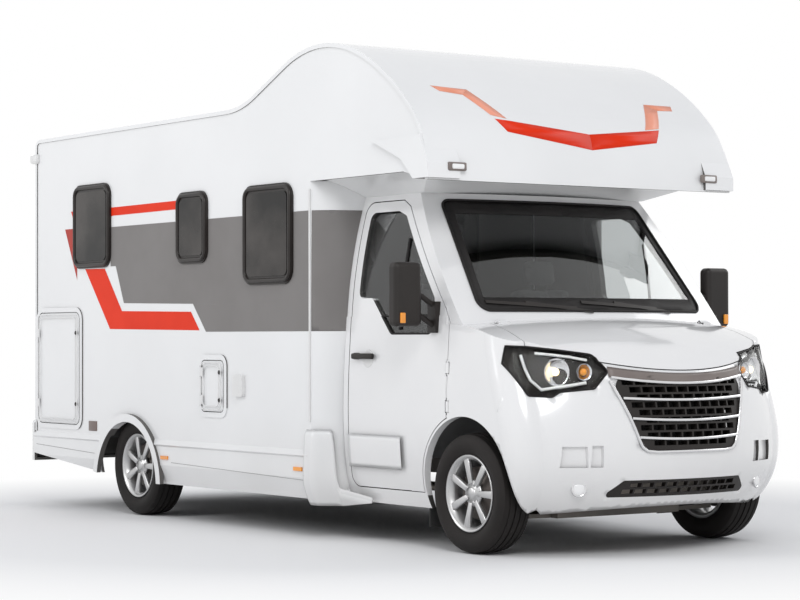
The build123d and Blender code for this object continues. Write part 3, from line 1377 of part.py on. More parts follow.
PIECES = {
    "bonnet": bonnet, "headlamps": headlamps, "front_bumper": front_bumper, "front_wings": front_wings,
    "windscreen": windscreen, "cab_shell": cab_shell, "cab_door_right": cab_door_right,
    "cab_door_left": cab_door_left, "door_glass_right": door_glass_right, "door_glass_left": door_glass_left,
    "cab_floor": cab_floor.part, "dashboard": dashboard.part, "steering_wheel": steering_wheel,
    "cab_seats": cab_seats.part, "grille": grille, "mirror_right": mirror_right, "mirror_left": mirror_left,
    "wipers": wipers, "roof_panel": roof_panel, "roof_hatch": roof_hatch, "rear_wall": rear_wall.part,
    "edge_rails": edge_rails.part, "alcove_underside": alcove_underside,
    "side_wall_right": side_wall_right, "side_wall_left": side_wall_left, "garage_door": garage_door,
    "toilet_hatch": toilet_hatch, "entry_door": entry_door, "floor_panel": floor_panel.part,
    "chassis_frame": chassis_frame.part, "strut_towers": strut_towers, "cab_fairings": cab_fairings,
    "skirt_right": skirt_right,
    "skirt_left": skirt_left, "rear_bumper": rear_bumper.part, "window_frames": window_frames,
    "window_panes": window_panes, "rear_lamps": rear_lamps.part, "marker_lamps": marker_lamps.part,
    "alcove_corners": alcove_corners.part, "knuckle_right": knuckle.part,
    "knuckle_left": mirror(knuckle.part, about=Plane.XZ), "front_subframe": front_subframe.part,
    "front_struts": front_struts, "rear_axle": rear_axle.part, "engine_block": engine_block.part,
    "exhaust": exhaust.part, "tanks": tanks.part, "mudflaps": mudflaps.part, "power_inlet": power_inlet.part,
}
for place, (x, y) in WHEELS.items():
    turn = Rot(0, 0, 180) if y > 0 else Rot(0, 0, 0)
    PIECES[f"tyre_{place}"] = Pos(x, y, TYRE_R) * turn * tyre.part
    PIECES[f"rim_{place}"] = Pos(x, y, TYRE_R) * turn * rim.part
for label, piece in PIECES.items():
    piece.label = label
    export_step(piece, f"parts/{label}.step")
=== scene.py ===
import bpy
import bmesh
from math import cos, pi, radians, sin
from mathutils import Matrix, Vector
from mathutils.bvhtree import BVHTree


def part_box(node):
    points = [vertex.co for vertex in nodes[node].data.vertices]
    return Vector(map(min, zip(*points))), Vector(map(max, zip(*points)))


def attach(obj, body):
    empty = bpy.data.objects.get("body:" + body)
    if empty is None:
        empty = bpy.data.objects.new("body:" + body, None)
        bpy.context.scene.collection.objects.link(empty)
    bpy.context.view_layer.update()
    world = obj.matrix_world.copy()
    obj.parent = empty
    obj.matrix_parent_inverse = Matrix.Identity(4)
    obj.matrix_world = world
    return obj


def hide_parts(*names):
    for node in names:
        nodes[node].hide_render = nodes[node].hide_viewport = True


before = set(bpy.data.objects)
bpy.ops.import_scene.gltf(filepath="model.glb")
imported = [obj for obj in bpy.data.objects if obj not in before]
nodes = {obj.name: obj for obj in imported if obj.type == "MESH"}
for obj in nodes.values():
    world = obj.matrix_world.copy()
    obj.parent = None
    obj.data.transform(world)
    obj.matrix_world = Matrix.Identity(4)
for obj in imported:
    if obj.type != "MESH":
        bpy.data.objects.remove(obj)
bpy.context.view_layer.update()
scene = bpy.context.scene
scene.view_settings.view_transform = "Standard"

# Studio floor and light: a pale floor that runs out to white, and four large soft disc lamps, before the
# front corner, on the near and far side and behind. The camera stands at the photograph's place.
floor_mesh = bpy.data.meshes.new("studio_floor")
bm = bmesh.new()
bmesh.ops.create_circle(bm, cap_ends=True, radius=40.0, segments=64)
bm.to_mesh(floor_mesh)
bm.free()
floor = bpy.data.objects.new("studio_floor", floor_mesh)
scene.collection.objects.link(floor)
floor_look = bpy.data.materials.new("studio_floor")
floor_look.use_nodes = True
tree = floor_look.node_tree
tree.nodes.remove(tree.nodes["Principled BSDF"])
place = tree.nodes.new("ShaderNodeTexCoord")
reach = tree.nodes.new("ShaderNodeVectorMath")
reach.operation = "LENGTH"
fade = tree.nodes.new("ShaderNodeMapRange")
fade.inputs["From Min"].default_value = 3.2
fade.inputs["From Max"].default_value = 5.6
matt = tree.nodes.new("ShaderNodeBsdfDiffuse")
matt.inputs["Color"].default_value = (0.86, 0.86, 0.86, 1)
glow = tree.nodes.new("ShaderNodeEmission")
glow.inputs["Strength"].default_value = 1.0
blend = tree.nodes.new("ShaderNodeMixShader")
tree.links.new(place.outputs["Object"], reach.inputs[0])
tree.links.new(reach.outputs["Value"], fade.inputs["Value"])
tree.links.new(fade.outputs["Result"], blend.inputs["Fac"])
tree.links.new(matt.outputs["BSDF"], blend.inputs[1])
tree.links.new(glow.outputs["Emission"], blend.inputs[2])
tree.links.new(blend.outputs["Shader"], tree.nodes["Material Output"].inputs["Surface"])
floor_mesh.materials.append(floor_look)

world = bpy.data.worlds.new("studio")
scene.world = world
world.use_nodes = True
tree = world.node_tree
soft = tree.nodes["Background"]
soft.inputs["Color"].default_value = (0.93, 0.95, 1.0, 1)
soft.inputs["Strength"].default_value = 0.55
white = tree.nodes.new("ShaderNodeBackground")
white.inputs["Color"].default_value = (1, 1, 1, 1)
white.inputs["Strength"].default_value = 1.0
path = tree.nodes.new("ShaderNodeLightPath")
seen = tree.nodes.new("ShaderNodeMath")
seen.operation = "MAXIMUM"
shown = tree.nodes.new("ShaderNodeMath")
shown.operation = "MAXIMUM"
blend = tree.nodes.new("ShaderNodeMixShader")
tree.links.new(path.outputs["Is Camera Ray"], seen.inputs[0])
tree.links.new(path.outputs["Is Glossy Ray"], seen.inputs[1])
tree.links.new(seen.outputs[0], shown.inputs[0])
tree.links.new(path.outputs["Is Transmission Ray"], shown.inputs[1])
tree.links.new(shown.outputs[0], blend.inputs["Fac"])
tree.links.new(soft.outputs["Background"], blend.inputs[1])
tree.links.new(white.outputs["Background"], blend.inputs[2])
tree.links.new(blend.outputs["Shader"], tree.nodes["World Output"].inputs["Surface"])

for label, spot, aim, size, power in (
    ("lamp_front", (10.0, -5.0, 7.5), (1.0, 0.0, 1.2), 5.0, 430.0),
    ("lamp_side", (-2.0, -9.0, 5.5), (-0.5, 0.0, 1.2), 6.0, 250.0),
    ("lamp_far", (3.0, 9.0, 6.0), (0.5, 0.0, 1.2), 6.0, 200.0),
    ("lamp_rear", (-10.0, 2.0, 6.0), (-1.0, 0.0, 1.4), 5.0, 160.0),
):
    lamp = bpy.data.lights.new(label, "AREA")
    lamp.shape = "DISK"
    lamp.size = size
    lamp.energy = power
    holder = bpy.data.objects.new(label, lamp)
    holder.location = spot
    holder.rotation_euler = (Vector(aim) - Vector(spot)).to_track_quat("-Z", "Y").to_euler()
    scene.collection.objects.link(holder)

lens = bpy.data.cameras.new("camera")
FOCAL_PIXELS, FRAME_PIXELS = 2324.1, 800.0
lens.sensor_width = 36.0
lens.lens = 36.0 * FOCAL_PIXELS / FRAME_PIXELS
camera = bpy.data.objects.new("camera", lens)
camera.location = (12.764, -8.811, 1.227)
yaw, pitch = radians(34.94), radians(0.91)
ahead = Vector((-cos(yaw) * cos(pitch), sin(yaw) * cos(pitch), sin(pitch)))
turn = Matrix.Rotation(radians(0.11), 4, ahead) @ ahead.to_track_quat("-Z", "Y").to_matrix().to_4x4()
camera.rotation_euler = turn.to_euler()
scene.collection.objects.link(camera)
scene.camera = camera

# Body panels: white gelcoat and painted steel with a faint orange peel, road dust near the ground,
# and painted shade: faces that look into the vehicle or into recesses are painted dark and dull.
grain = bpy.data.node_groups.new("panel_grain_dust_inner_shade", "ShaderNodeTree")
for label, kind, value in (
    ("Colour", "NodeSocketColor", (1, 1, 1, 1)),
    ("Shade", "NodeSocketColor", (1, 1, 1, 1)),
    ("Lining", "NodeSocketColor", (0.2, 0.2, 0.2, 1)),
    ("Centre", "NodeSocketVector", (0, 0, 1.5)),
    ("Lined", "NodeSocketFloat", 0.0),
    ("Coarse", "NodeSocketFloat", 3.0),
    ("Fine", "NodeSocketFloat", 200.0),
    ("Smooth", "NodeSocketFloat", 0.2),
    ("Rough", "NodeSocketFloat", 0.3),
    ("Dust", "NodeSocketFloat", 0.0),
):
    socket = grain.interface.new_socket(label, in_out="INPUT", socket_type=kind)
    socket.default_value = value
for label, kind in (
    ("Colour", "NodeSocketColor"),
    ("Roughness", "NodeSocketFloat"),
    ("Height", "NodeSocketFloat"),
):
    grain.interface.new_socket(label, in_out="OUTPUT", socket_type=kind)
g = grain.nodes
take, give = g.new("NodeGroupInput"), g.new("NodeGroupOutput")
spot = g.new("ShaderNodeTexCoord")
cloud, speck = g.new("ShaderNodeTexNoise"), g.new("ShaderNodeTexNoise")
cloud.inputs["Detail"].default_value = 5.0
speck.inputs["Detail"].default_value = 2.0
link = grain.links.new
link(spot.outputs["Object"], cloud.inputs["Vector"])
link(spot.outputs["Object"], speck.inputs["Vector"])
link(take.outputs["Coarse"], cloud.inputs["Scale"])
link(take.outputs["Fine"], speck.inputs["Scale"])
patch = g.new("ShaderNodeMapRange")
patch.inputs["From Min"].default_value = 0.38
patch.inputs["From Max"].default_value = 0.66
link(cloud.outputs["Fac"], patch.inputs["Value"])
mottle = g.new("ShaderNodeMix")
mottle.data_type = "RGBA"
link(patch.outputs["Result"], mottle.inputs["Factor"])
link(take.outputs["Colour"], mottle.inputs["A"])
link(take.outputs["Shade"], mottle.inputs["B"])
parts = g.new("ShaderNodeSeparateXYZ")
link(spot.outputs["Object"], parts.inputs["Vector"])
low = g.new("ShaderNodeMapRange")
low.inputs["From Min"].default_value = 0.75
low.inputs["From Max"].default_value = 0.15
link(parts.outputs["Z"], low.inputs["Value"])
dirt = g.new("ShaderNodeMath")
dirt.operation = "MULTIPLY"
link(low.outputs["Result"], dirt.inputs[0])
link(cloud.outputs["Fac"], dirt.inputs[1])
dusty = g.new("ShaderNodeMath")
dusty.operation = "MULTIPLY"
link(dirt.outputs[0], dusty.inputs[0])
link(take.outputs["Dust"], dusty.inputs[1])
soil = g.new("ShaderNodeMix")
soil.data_type = "RGBA"
soil.inputs["B"].default_value = (0.42, 0.38, 0.33, 1)
link(dusty.outputs[0], soil.inputs["Factor"])
link(mottle.outputs["Result"], soil.inputs["A"])
# Painted shade: faces whose true normal points back towards Centre (those that look into the vehicle and into
# recesses such as the bumper pockets) are mixed to the dark inner colour and made duller.
facing = g.new("ShaderNodeNewGeometry")
away = g.new("ShaderNodeVectorMath")
away.operation = "SUBTRACT"
link(spot.outputs["Object"], away.inputs[0])
link(take.outputs["Centre"], away.inputs[1])
out = g.new("ShaderNodeVectorMath")
out.operation = "DOT_PRODUCT"
link(away.outputs["Vector"], out.inputs[0])
link(facing.outputs["True Normal"], out.inputs[1])
inside = g.new("ShaderNodeMath")
inside.operation = "LESS_THAN"
inside.inputs[1].default_value = 0.0
link(out.outputs["Value"], inside.inputs[0])
lined = g.new("ShaderNodeMath")
lined.operation = "MULTIPLY"
link(inside.outputs[0], lined.inputs[0])
link(take.outputs["Lined"], lined.inputs[1])
inner_shade_mix = g.new("ShaderNodeMix")
inner_shade_mix.data_type = "RGBA"
link(lined.outputs[0], inner_shade_mix.inputs["Factor"])
link(soil.outputs["Result"], inner_shade_mix.inputs["A"])
link(take.outputs["Lining"], inner_shade_mix.inputs["B"])
link(inner_shade_mix.outputs["Result"], give.inputs["Colour"])
gloss = g.new("ShaderNodeMapRange")
link(cloud.outputs["Fac"], gloss.inputs["Value"])
link(take.outputs["Smooth"], gloss.inputs["To Min"])
link(take.outputs["Rough"], gloss.inputs["To Max"])
duller = g.new("ShaderNodeMath")
duller.operation = "MULTIPLY_ADD"
duller.inputs[1].default_value = 0.6
link(lined.outputs[0], duller.inputs[0])
link(gloss.outputs["Result"], duller.inputs[2])
link(duller.outputs[0], give.inputs["Roughness"])
link(speck.outputs["Fac"], give.inputs["Height"])


def finish(name, colour, shade, smooth, rough, sockets=None, bump=0.05, depth=0.0002, **inputs):
    look = bpy.data.materials.new(name)
    look.use_nodes = True
    shader = look.node_tree.nodes["Principled BSDF"]
    skin = look.node_tree.nodes.new("ShaderNodeGroup")
    skin.node_tree = grain
    skin.inputs["Colour"].default_value = (*colour, 1)
    skin.inputs["Shade"].default_value = (*shade, 1)
    skin.inputs["Smooth"].default_value = smooth
    skin.inputs["Rough"].default_value = rough
    for label, value in inputs.items():
        skin.inputs[label.title()].default_value = value
    relief = look.node_tree.nodes.new("ShaderNodeBump")
    relief.inputs["Strength"].default_value = bump
    relief.inputs["Distance"].default_value = depth
    look.node_tree.links.new(skin.outputs["Colour"], shader.inputs["Base Color"])
    look.node_tree.links.new(skin.outputs["Roughness"], shader.inputs["Roughness"])
    look.node_tree.links.new(skin.outputs["Height"], relief.inputs["Height"])
    look.node_tree.links.new(relief.outputs["Normal"], shader.inputs["Normal"])
    for label, value in (sockets or {}).items():
        shader.inputs[label].default_value = value
    return look


def dress(look, *names):
    for name in names:
        nodes[name].data.materials.clear()
        nodes[name].data.materials.append(look)


# The inner shade settings below paint the inward faces dark: painted shade inside the coach and the cab, and
# in the bumper pockets.
gelcoat = finish(
    "white_gelcoat", (0.80, 0.805, 0.81), (0.77, 0.775, 0.78), 0.16, 0.30,
    {"Coat Weight": 0.35, "Coat Roughness": 0.08},
    lined=1.0, lining=(0.10, 0.095, 0.09, 1), centre=(0, 0, 1.55), coarse=1.2, fine=60.0, dust=0.35,
)
dress(
    gelcoat, "side_wall_right", "side_wall_left", "roof_panel", "rear_wall", "edge_rails",
    "garage_door", "toilet_hatch", "entry_door", "cab_fairings", "skirt_right", "skirt_left",
    "rear_bumper", "alcove_corners",
)
cab_paint = finish(
    "white_cab_paint", (0.80, 0.80, 0.80), (0.78, 0.78, 0.785), 0.10, 0.20,
    {"Coat Weight": 0.6, "Coat Roughness": 0.04},
    lined=1.0, lining=(0.045, 0.042, 0.04, 1), centre=(1.7, 0, 1.05), coarse=1.6, fine=90.0, dust=0.3,
)
dress(cab_paint, "bonnet", "front_bumper", "front_wings", "cab_shell", "cab_door_right", "cab_door_left")
# The overcab's underside is a little darker than the wall gelcoat: painted shade under the overcab.
underside = finish(
    "overcab_gelcoat_painted_shade", (0.76, 0.765, 0.77), (0.73, 0.735, 0.74), 0.18, 0.32, {"Coat Weight": 0.3},
    lined=1.0, lining=(0.10, 0.095, 0.09, 1), centre=(1.4, 0, 2.7), coarse=1.4, fine=60.0,
)
dress(underside, "alcove_underside")

# Side graphics: printed film on the walls and fairings, a grey band with an orange L-stripe behind it
# and a thin stripe above, cut from the wall's own skin so that it stops at every opening.
film_coat = {"Specular IOR Level": 0.18}
band_film = finish("grey_film", (0.205, 0.195, 0.19), (0.19, 0.18, 0.175), 0.30, 0.42, film_coat, fine=80.0)
stripe_film = finish(
    "orange_film", (0.76, 0.030, 0.002), (0.70, 0.026, 0.002), 0.38, 0.50, film_coat, fine=80.0
)
dark_film = finish("red_film", (0.46, 0.05, 0.035), (0.40, 0.04, 0.03), 0.28, 0.40, film_coat, fine=80.0)
pale_film = finish("salmon_film", (0.86, 0.36, 0.25), (0.82, 0.31, 0.2), 0.30, 0.42, film_coat, fine=80.0)


def add_piece(name, mesh_or_bm, body, look):
    if isinstance(mesh_or_bm, bmesh.types.BMesh):
        mesh = bpy.data.meshes.new(name)
        mesh_or_bm.to_mesh(mesh)
        mesh_or_bm.free()
    else:
        mesh = mesh_or_bm
    piece = bpy.data.objects.new(name, mesh)
    mesh.materials.clear()
    mesh.materials.append(look)
    scene.collection.objects.link(piece)
    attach(piece, body)
    return piece


FRONT_FILM_X = 1.0


def film(name, node, body, corners, plane, outward, look, lift=0.0012, thick=0.0006):
    bm = bmesh.new()
    bm.from_mesh(nodes[node].data)
    bmesh.ops.remove_doubles(bm, verts=bm.verts, dist=1e-5)
    middle = sum((Vector(c) for c in corners), Vector((0, 0))) / len(corners)
    for a, b in zip(corners, corners[1:] + corners[:1]):
        across = Vector((b[1] - a[1], a[0] - b[0]))
        if across.dot(Vector(a) - middle) < 0:
            across = -across
        at = Vector((a[0], 0, a[1])) if plane == "side" else Vector((0, a[0], a[1]))
        no = Vector((across.x, 0, across.y)) if plane == "side" else Vector((0, across.x, across.y))
        bmesh.ops.bisect_plane(
            bm,
            geom=bm.verts[:] + bm.edges[:] + bm.faces[:],
            dist=1e-6,
            plane_co=at,
            plane_no=no,
            clear_outer=True,
        )
    outward = Vector(outward)
    spare = [f for f in bm.faces if f.normal.dot(outward) < 0.3]
    if plane == "front":
        spare += [f for f in bm.faces if f.calc_center_median().x * outward.x < FRONT_FILM_X]
    bmesh.ops.delete(bm, geom=list(set(spare)), context="FACES")
    bm.normal_update()
    for v in bm.verts:
        v.co += v.normal * lift
    bmesh.ops.solidify(bm, geom=bm.faces[:], thickness=thick)
    bmesh.ops.recalc_face_normals(bm, faces=bm.faces[:])
    return add_piece(name, bm, body, look)


WALL_FRONT = 0.838
band_shapes = (
    ("band_upper", ((-1.740, 1.725), (-1.740, 2.000), (WALL_FRONT, 2.000), (WALL_FRONT, 1.725)), band_film),
    ("band_middle", ((-1.663, 1.725), (-1.544, 1.465), (WALL_FRONT, 1.423), (WALL_FRONT, 1.725)), band_film),
    ("band_lower", ((-0.586, 1.448), (-0.415, 1.263), (WALL_FRONT, 1.263), (WALL_FRONT, 1.423)), band_film),
    ("stripe_arm", ((-2.124, 1.715), (-1.827, 1.711), (-1.572, 1.410), (-1.748, 1.286)), stripe_film),
    ("stripe_foot", ((-1.748, 1.286), (-0.499, 1.273), (-0.612, 1.396), (-1.572, 1.410)), stripe_film),
    ("stripe_head", ((-2.440, 2.010), (-2.250, 2.010), (-2.250, 1.640)), dark_film),
    ("stripe_thin", ((-2.345, 2.135), (-0.760, 2.140), (-0.760, 2.082), (-2.310, 2.076)), stripe_film),
)
for label, corners, look in band_shapes:
    film(label + "_right", "side_wall_right", "coach", corners, "side", (0, -1, 0), look)
    film(label + "_left", "side_wall_left", "coach", corners, "side", (0, 1, 0), look)
for label, corners, look in band_shapes[:3]:
    film(label + "_door", "entry_door", "entry_door", corners, "side", (0, 1, 0), look)
for side, out in (("right", (0.4, -1, 0)), ("left", (0.4, 1, 0))):
    corner = [(0.852, 1.263), (0.852, 2.000), (1.02, 2.000), (1.02, 1.263)]
    film("band_fairing_" + side, "cab_fairings", "coach", corner, "side", out, band_film)
overcab_shapes = (
    ("salmon_tip", ((-0.908, 2.694), (-0.655, 2.684), (-0.714, 2.646), (-0.869, 2.661)), pale_film),
    ("salmon_arm", ((-0.655, 2.684), (-0.495, 2.506), (-0.604, 2.524), (-0.714, 2.646)), pale_film),
    (
        "overcab_red_right",
        ((-0.586, 2.501), (-0.482, 2.494), (0.095, 2.438), (0.083, 2.340), (-0.528, 2.424)),
        stripe_film,
    ),
    ("overcab_red_left", ((0.095, 2.438), (0.678, 2.494), (0.615, 2.409), (0.083, 2.340)), stripe_film),
    ("salmon_post", ((0.702, 2.668), (0.779, 2.631), (0.684, 2.504), (0.564, 2.489)), pale_film),
    ("salmon_hook", ((0.702, 2.668), (0.926, 2.668), (0.907, 2.635), (0.779, 2.631)), pale_film),
)
for label, corners, look in overcab_shapes:
    film(label, "roof_panel", "coach", corners, "front", (1, 0, 0.7), look)

# Black and grey mouldings: grained plastic for trim, window frames, wipers and the dash, moulded
# in colour and clipped or screwed on. Rubber beads are drawn along the edges that they seal.
trim_plastic = finish(
    "moulded_black_plastic", (0.016, 0.0135, 0.0125), (0.024, 0.020, 0.018), 0.38, 0.55,
    {"Specular IOR Level": 0.3}, fine=420.0, bump=0.25,
)
frame_plastic = finish(
    "window_frame_plastic", (0.013, 0.010, 0.009), (0.020, 0.016, 0.014), 0.25, 0.4,
    {"Specular IOR Level": 0.35}, fine=300.0, bump=0.15,
)
seal_rubber = finish(
    "seal_rubber", (0.010, 0.009, 0.009), (0.016, 0.014, 0.014), 0.5, 0.7,
    {"Specular IOR Level": 0.25}, fine=300.0, bump=0.15,
)
bright_chrome = finish("bright_chrome", (0.72, 0.72, 0.73), (0.66, 0.66, 0.67), 0.06, 0.14, {"Metallic": 1.0})
white_plastic = finish(
    "white_plastic", (0.74, 0.74, 0.735), (0.70, 0.70, 0.695), 0.3, 0.45, {"Coat Weight": 0.15}, fine=200.0
)
dress(trim_plastic, "grille", "wipers", "mirror_right", "mirror_left", "dashboard", "steering_wheel")
dress(white_plastic, "power_inlet")


def bead(name, points, radius, body, look, closed=False):
    line = bpy.data.curves.new(name, "CURVE")
    line.dimensions = "3D"
    line.bevel_depth = radius
    line.bevel_resolution = 3
    line.use_fill_caps = True
    spline = line.splines.new("POLY")
    spline.points.add(len(points) - 1)
    for knot, point in zip(spline.points, points):
        knot.co = (*point, 1)
    spline.use_cyclic_u = closed
    holder = bpy.data.objects.new(name + "_line", line)
    mesh = bpy.data.meshes.new_from_object(holder)
    bpy.data.objects.remove(holder)
    for face in mesh.polygons:
        face.use_smooth = True
    return add_piece(name, mesh, body, look)


def rounded_points(x0, z0, x1, z1, radius, y):
    points = []
    for x, z, start in (
        (x1 - radius, z1 - radius, 0),
        (x0 + radius, z1 - radius, 90),
        (x0 + radius, z0 + radius, 180),
        (x1 - radius, z0 + radius, 270),
    ):
        for step in range(7):
            turn = radians(start + 15 * step)
            points.append((x + radius * cos(turn), y, z + radius * sin(turn)))
    return points


def turned(bm, profile, centre, axis, steps=32):
    made = [bm.verts.new((r, 0, t)) for r, t in profile]
    edges = [bm.edges.new(pair) for pair in zip(made, made[1:])]
    bmesh.ops.spin(
        bm, geom=made + edges, cent=(0, 0, 0), axis=(0, 0, 1), angle=2 * pi, steps=steps, use_merge=True
    )
    fresh = [v for v in bm.verts if not v.tag]
    turn = Vector(axis).to_track_quat("Z", "Y").to_matrix().to_4x4()
    bmesh.ops.transform(bm, matrix=Matrix.Translation(centre) @ turn, verts=fresh)
    bmesh.ops.remove_doubles(bm, verts=fresh, dist=1e-6)
    for v in bm.verts:
        v.tag = True


def block(bm, centre, size, round_by):
    made = bmesh.ops.create_cube(bm, size=1.0)["verts"]
    bmesh.ops.scale(bm, vec=size, verts=made)
    bmesh.ops.translate(bm, vec=centre, verts=made)
    rims = list({e for v in made for e in v.link_edges})
    bmesh.ops.bevel(
        bm, geom=rims, offset=round_by, affect="EDGES", segments=3, profile=0.5, material=-1
    )
    for v in bm.verts:
        v.tag = True


def smooth(bm):
    bmesh.ops.recalc_face_normals(bm, faces=bm.faces[:])
    for face in bm.faces:
        face.smooth = True
    return bm


def surface(*names):
    bm = bmesh.new()
    for name in names:
        bm.from_mesh(nodes[name].data)
    tree = BVHTree.FromBMesh(bm)
    bm.free()
    return tree


# Skirts: deep white mouldings along the foot of both walls. Behind the wheel the lower edge rises
# to the tail, so the copy of each skirt is cut along that line and its open edge is closed.
SKIRT_RISE_FROM = Vector((-1.728, 0, 0.260))
SKIRT_RISE_TO = Vector((-2.915, 0, 0.378))
for side in ("right", "left"):
    bm = bmesh.new()
    bm.from_mesh(nodes["skirt_" + side].data)
    bmesh.ops.remove_doubles(bm, verts=bm.verts, dist=1e-5)
    run = SKIRT_RISE_TO - SKIRT_RISE_FROM
    bmesh.ops.bisect_plane(
        bm,
        geom=bm.verts[:] + bm.edges[:] + bm.faces[:],
        dist=1e-6,
        plane_co=SKIRT_RISE_FROM,
        plane_no=(run.z, 0, -run.x),
        clear_inner=True,
    )
    bmesh.ops.holes_fill(bm, edges=[e for e in bm.edges if e.is_boundary], sides=0)
    bmesh.ops.recalc_face_normals(bm, faces=bm.faces[:])
    piece = add_piece("skirt_panel_" + side, bm, "coach", gelcoat)
    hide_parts("skirt_" + side)

# Corner trims and small fittings of the coach: a white joint strip at the front edge of each wall, lamp
# pods at the top rear corners, grey reflector plates and the fine panel joints of the skirts.
SIDES = (("right", -1), ("left", 1))
WALL_Y = 1.150
BESIDE_Y = 1.6
SEAM_STEPS = 12
reflector_grey = finish(
    "reflector_grey", (0.14, 0.10, 0.09), (0.2, 0.15, 0.13), 0.25, 0.35, fine=500.0, bump=0.3
)
groove_grey = finish("groove_grey", (0.30, 0.30, 0.30), (0.26, 0.26, 0.26), 0.5, 0.7)
for side, sign in SIDES:
    strip = [(0.842, sign * (WALL_Y + 0.003), 0.71), (0.842, sign * (WALL_Y + 0.003), 2.13)]
    bead("joint_strip_" + side, strip, 0.007, "coach", white_plastic)
    bm = bmesh.new()
    block(bm, (-2.905, sign * (WALL_Y + 0.012), 2.55), (0.10, 0.05, 0.07), 0.02)
    add_piece("corner_pod_" + side, smooth(bm), "coach", white_plastic)
    side_face = surface("skirt_" + side, "side_wall_" + side)
    inward = Vector((0, -sign, 0))
    at = side_face.ray_cast(Vector((-2.003, sign * BESIDE_Y, 0.60)), inward)[0]
    bm = bmesh.new()
    block(bm, at, (0.12, 0.012, 0.07), 0.003)
    add_piece("reflector_" + side, smooth(bm), "coach", reflector_grey)
    for label, x0, z0, x1, z1 in (
        ("rear", -2.88, 0.443, -1.96, 0.409),
        ("front", -0.86, 0.390, 0.776, 0.353),
    ):
        seam = []
        for k in range(SEAM_STEPS + 1):
            x = x0 + (x1 - x0) * k / SEAM_STEPS
            z = z0 + (z1 - z0) * k / SEAM_STEPS
            seam.append(side_face.ray_cast(Vector((x, sign * BESIDE_Y, z)), inward)[0])
        bead("skirt_seam_%s_%s" % (label, side), seam, 0.0018, "coach", groove_grey)

# Corner mouldings: white gelcoat shells at the foot of the fairings. They wrap round from the skirts to
# the sills, fall in height there and run on as a low tongue under the cab doors.
FOOT_REAR_X, TONGUE_X, FOOT_FRONT_X = 0.80, 1.00, 1.28
FOOT_LOW_Z, TONGUE_TOP_Z, FOOT_TOP_Z = 0.222, 0.312, 0.664
FOOT_BELLY_Z, FOOT_EDGE = 0.40, 0.039


def ease(share):
    share = min(1.0, max(0.0, share))
    return share * share * (3 - 2 * share)


for side, sign in SIDES:
    bm = bmesh.new()
    made = bmesh.ops.create_grid(bm, x_segments=60, y_segments=18, size=1.0)["verts"]
    for v in made:
        x = FOOT_REAR_X + (FOOT_FRONT_X - FOOT_REAR_X) * (v.co.x + 1) / 2
        along = max(0.0, x - TONGUE_X) / (FOOT_FRONT_X - TONGUE_X)
        low = FOOT_LOW_Z + 0.032 * along
        high = FOOT_TOP_Z + (TONGUE_TOP_Z - FOOT_TOP_Z) * ease((x - 0.955) / 0.05) - 0.045 * along
        z = low + (high - low) * (v.co.y + 1) / 2
        tuck = 0.055 * max(0.0, (FOOT_BELLY_Z - z) / 0.178) ** 2
        taper = 0.012 * max(0.0, (z - FOOT_BELLY_Z) / 0.264)
        rounding = 0.014 * max(0.0, (z - high + FOOT_EDGE) / FOOT_EDGE) ** 2
        proud = 0.026 - tuck - taper - rounding
        drop = 0.110 * ease((x - 0.87) / 0.13) + 0.03 * along
        v.co = Vector((x, sign * (WALL_Y + proud - drop), z))
    bmesh.ops.solidify(bm, geom=bm.faces[:], thickness=0.02)
    add_piece("corner_foot_" + side, smooth(bm), "coach", gelcoat)

# Locker doors: flush panels in a thin aluminium frame, hung on small hinges at the rear edge and shut by
# round key locks at the front edge. Frames and hinge leaves start clear of the pins and swing free.
PIN_CLEAR = 0.004
for node, hinge_x, lock_x, heights in (
    ("garage_door", -2.852, -2.226, (0.75, 1.26)),
    ("toilet_hatch", -0.462, -0.206, (0.82, 1.00)),
):
    low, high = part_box(node)
    face_y = low[1] - 0.001
    for label, inset in (("outer", 0.012), ("inner", 0.034)):
        loop = rounded_points(
            hinge_x + PIN_CLEAR + inset, low[2] + inset, high[0] - inset, high[2] - inset, 0.035, face_y
        )
        bead(node + "_" + label + "_frame", loop, 0.0035, node, white_plastic, closed=True)
    for count, z in enumerate(heights):
        bm = bmesh.new()
        turned(
            bm,
            ((0, 0.006), (0.012, 0.006), (0.014, 0.004), (0.014, -0.004), (0, -0.004)),
            (lock_x, face_y, z), (0, -1, 0), 20,
        )
        add_piece("%s_lock_%d" % (node, count), smooth(bm), node, trim_plastic)
        bm = bmesh.new()
        block(bm, (hinge_x + 0.027, face_y, z), (0.022, 0.012, 0.06), 0.004)
        add_piece("%s_hinge_%d" % (node, count), smooth(bm), node, white_plastic)

# Coach windows and roof hatch: double acrylic panes, tinted dark, in thick rounded plastic frames that are
# clamped through the wall from inside. A round bezel runs along each frame.
BEZEL_INSET = 0.024
pane_tint = finish(
    "tinted_acrylic", (0.004, 0.0035, 0.003), (0.050, 0.044, 0.040), 0.05, 0.10,
    {"Specular IOR Level": 0.3}, bump=0.0, coarse=2.2,
)
dress(pane_tint, "window_panes", "roof_hatch")
dress(frame_plastic, "window_frames")
WINDOW_BOXES = (
    ("rear_right", -1, (-2.286, 1.719, -1.729, 2.316)),
    ("middle_right", -1, (-0.790, 1.714, -0.385, 2.189)),
    ("front_right", -1, (0.071, 1.557, 0.655, 2.186)),
    ("rear_left", 1, (-2.286, 1.719, -1.729, 2.316)),
    ("middle_left", 1, (-1.191, 1.614, -0.439, 2.186)),
)
frame_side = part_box("window_frames")[1][1]
for label, sign, (x0, z0, x1, z1) in WINDOW_BOXES:
    loop = rounded_points(
        x0 + BEZEL_INSET, z0 + BEZEL_INSET, x1 - BEZEL_INSET, z1 - BEZEL_INSET, 0.06, sign * frame_side
    )
    bead("window_bezel_" + label, loop, 0.015, "coach", frame_plastic, closed=True)

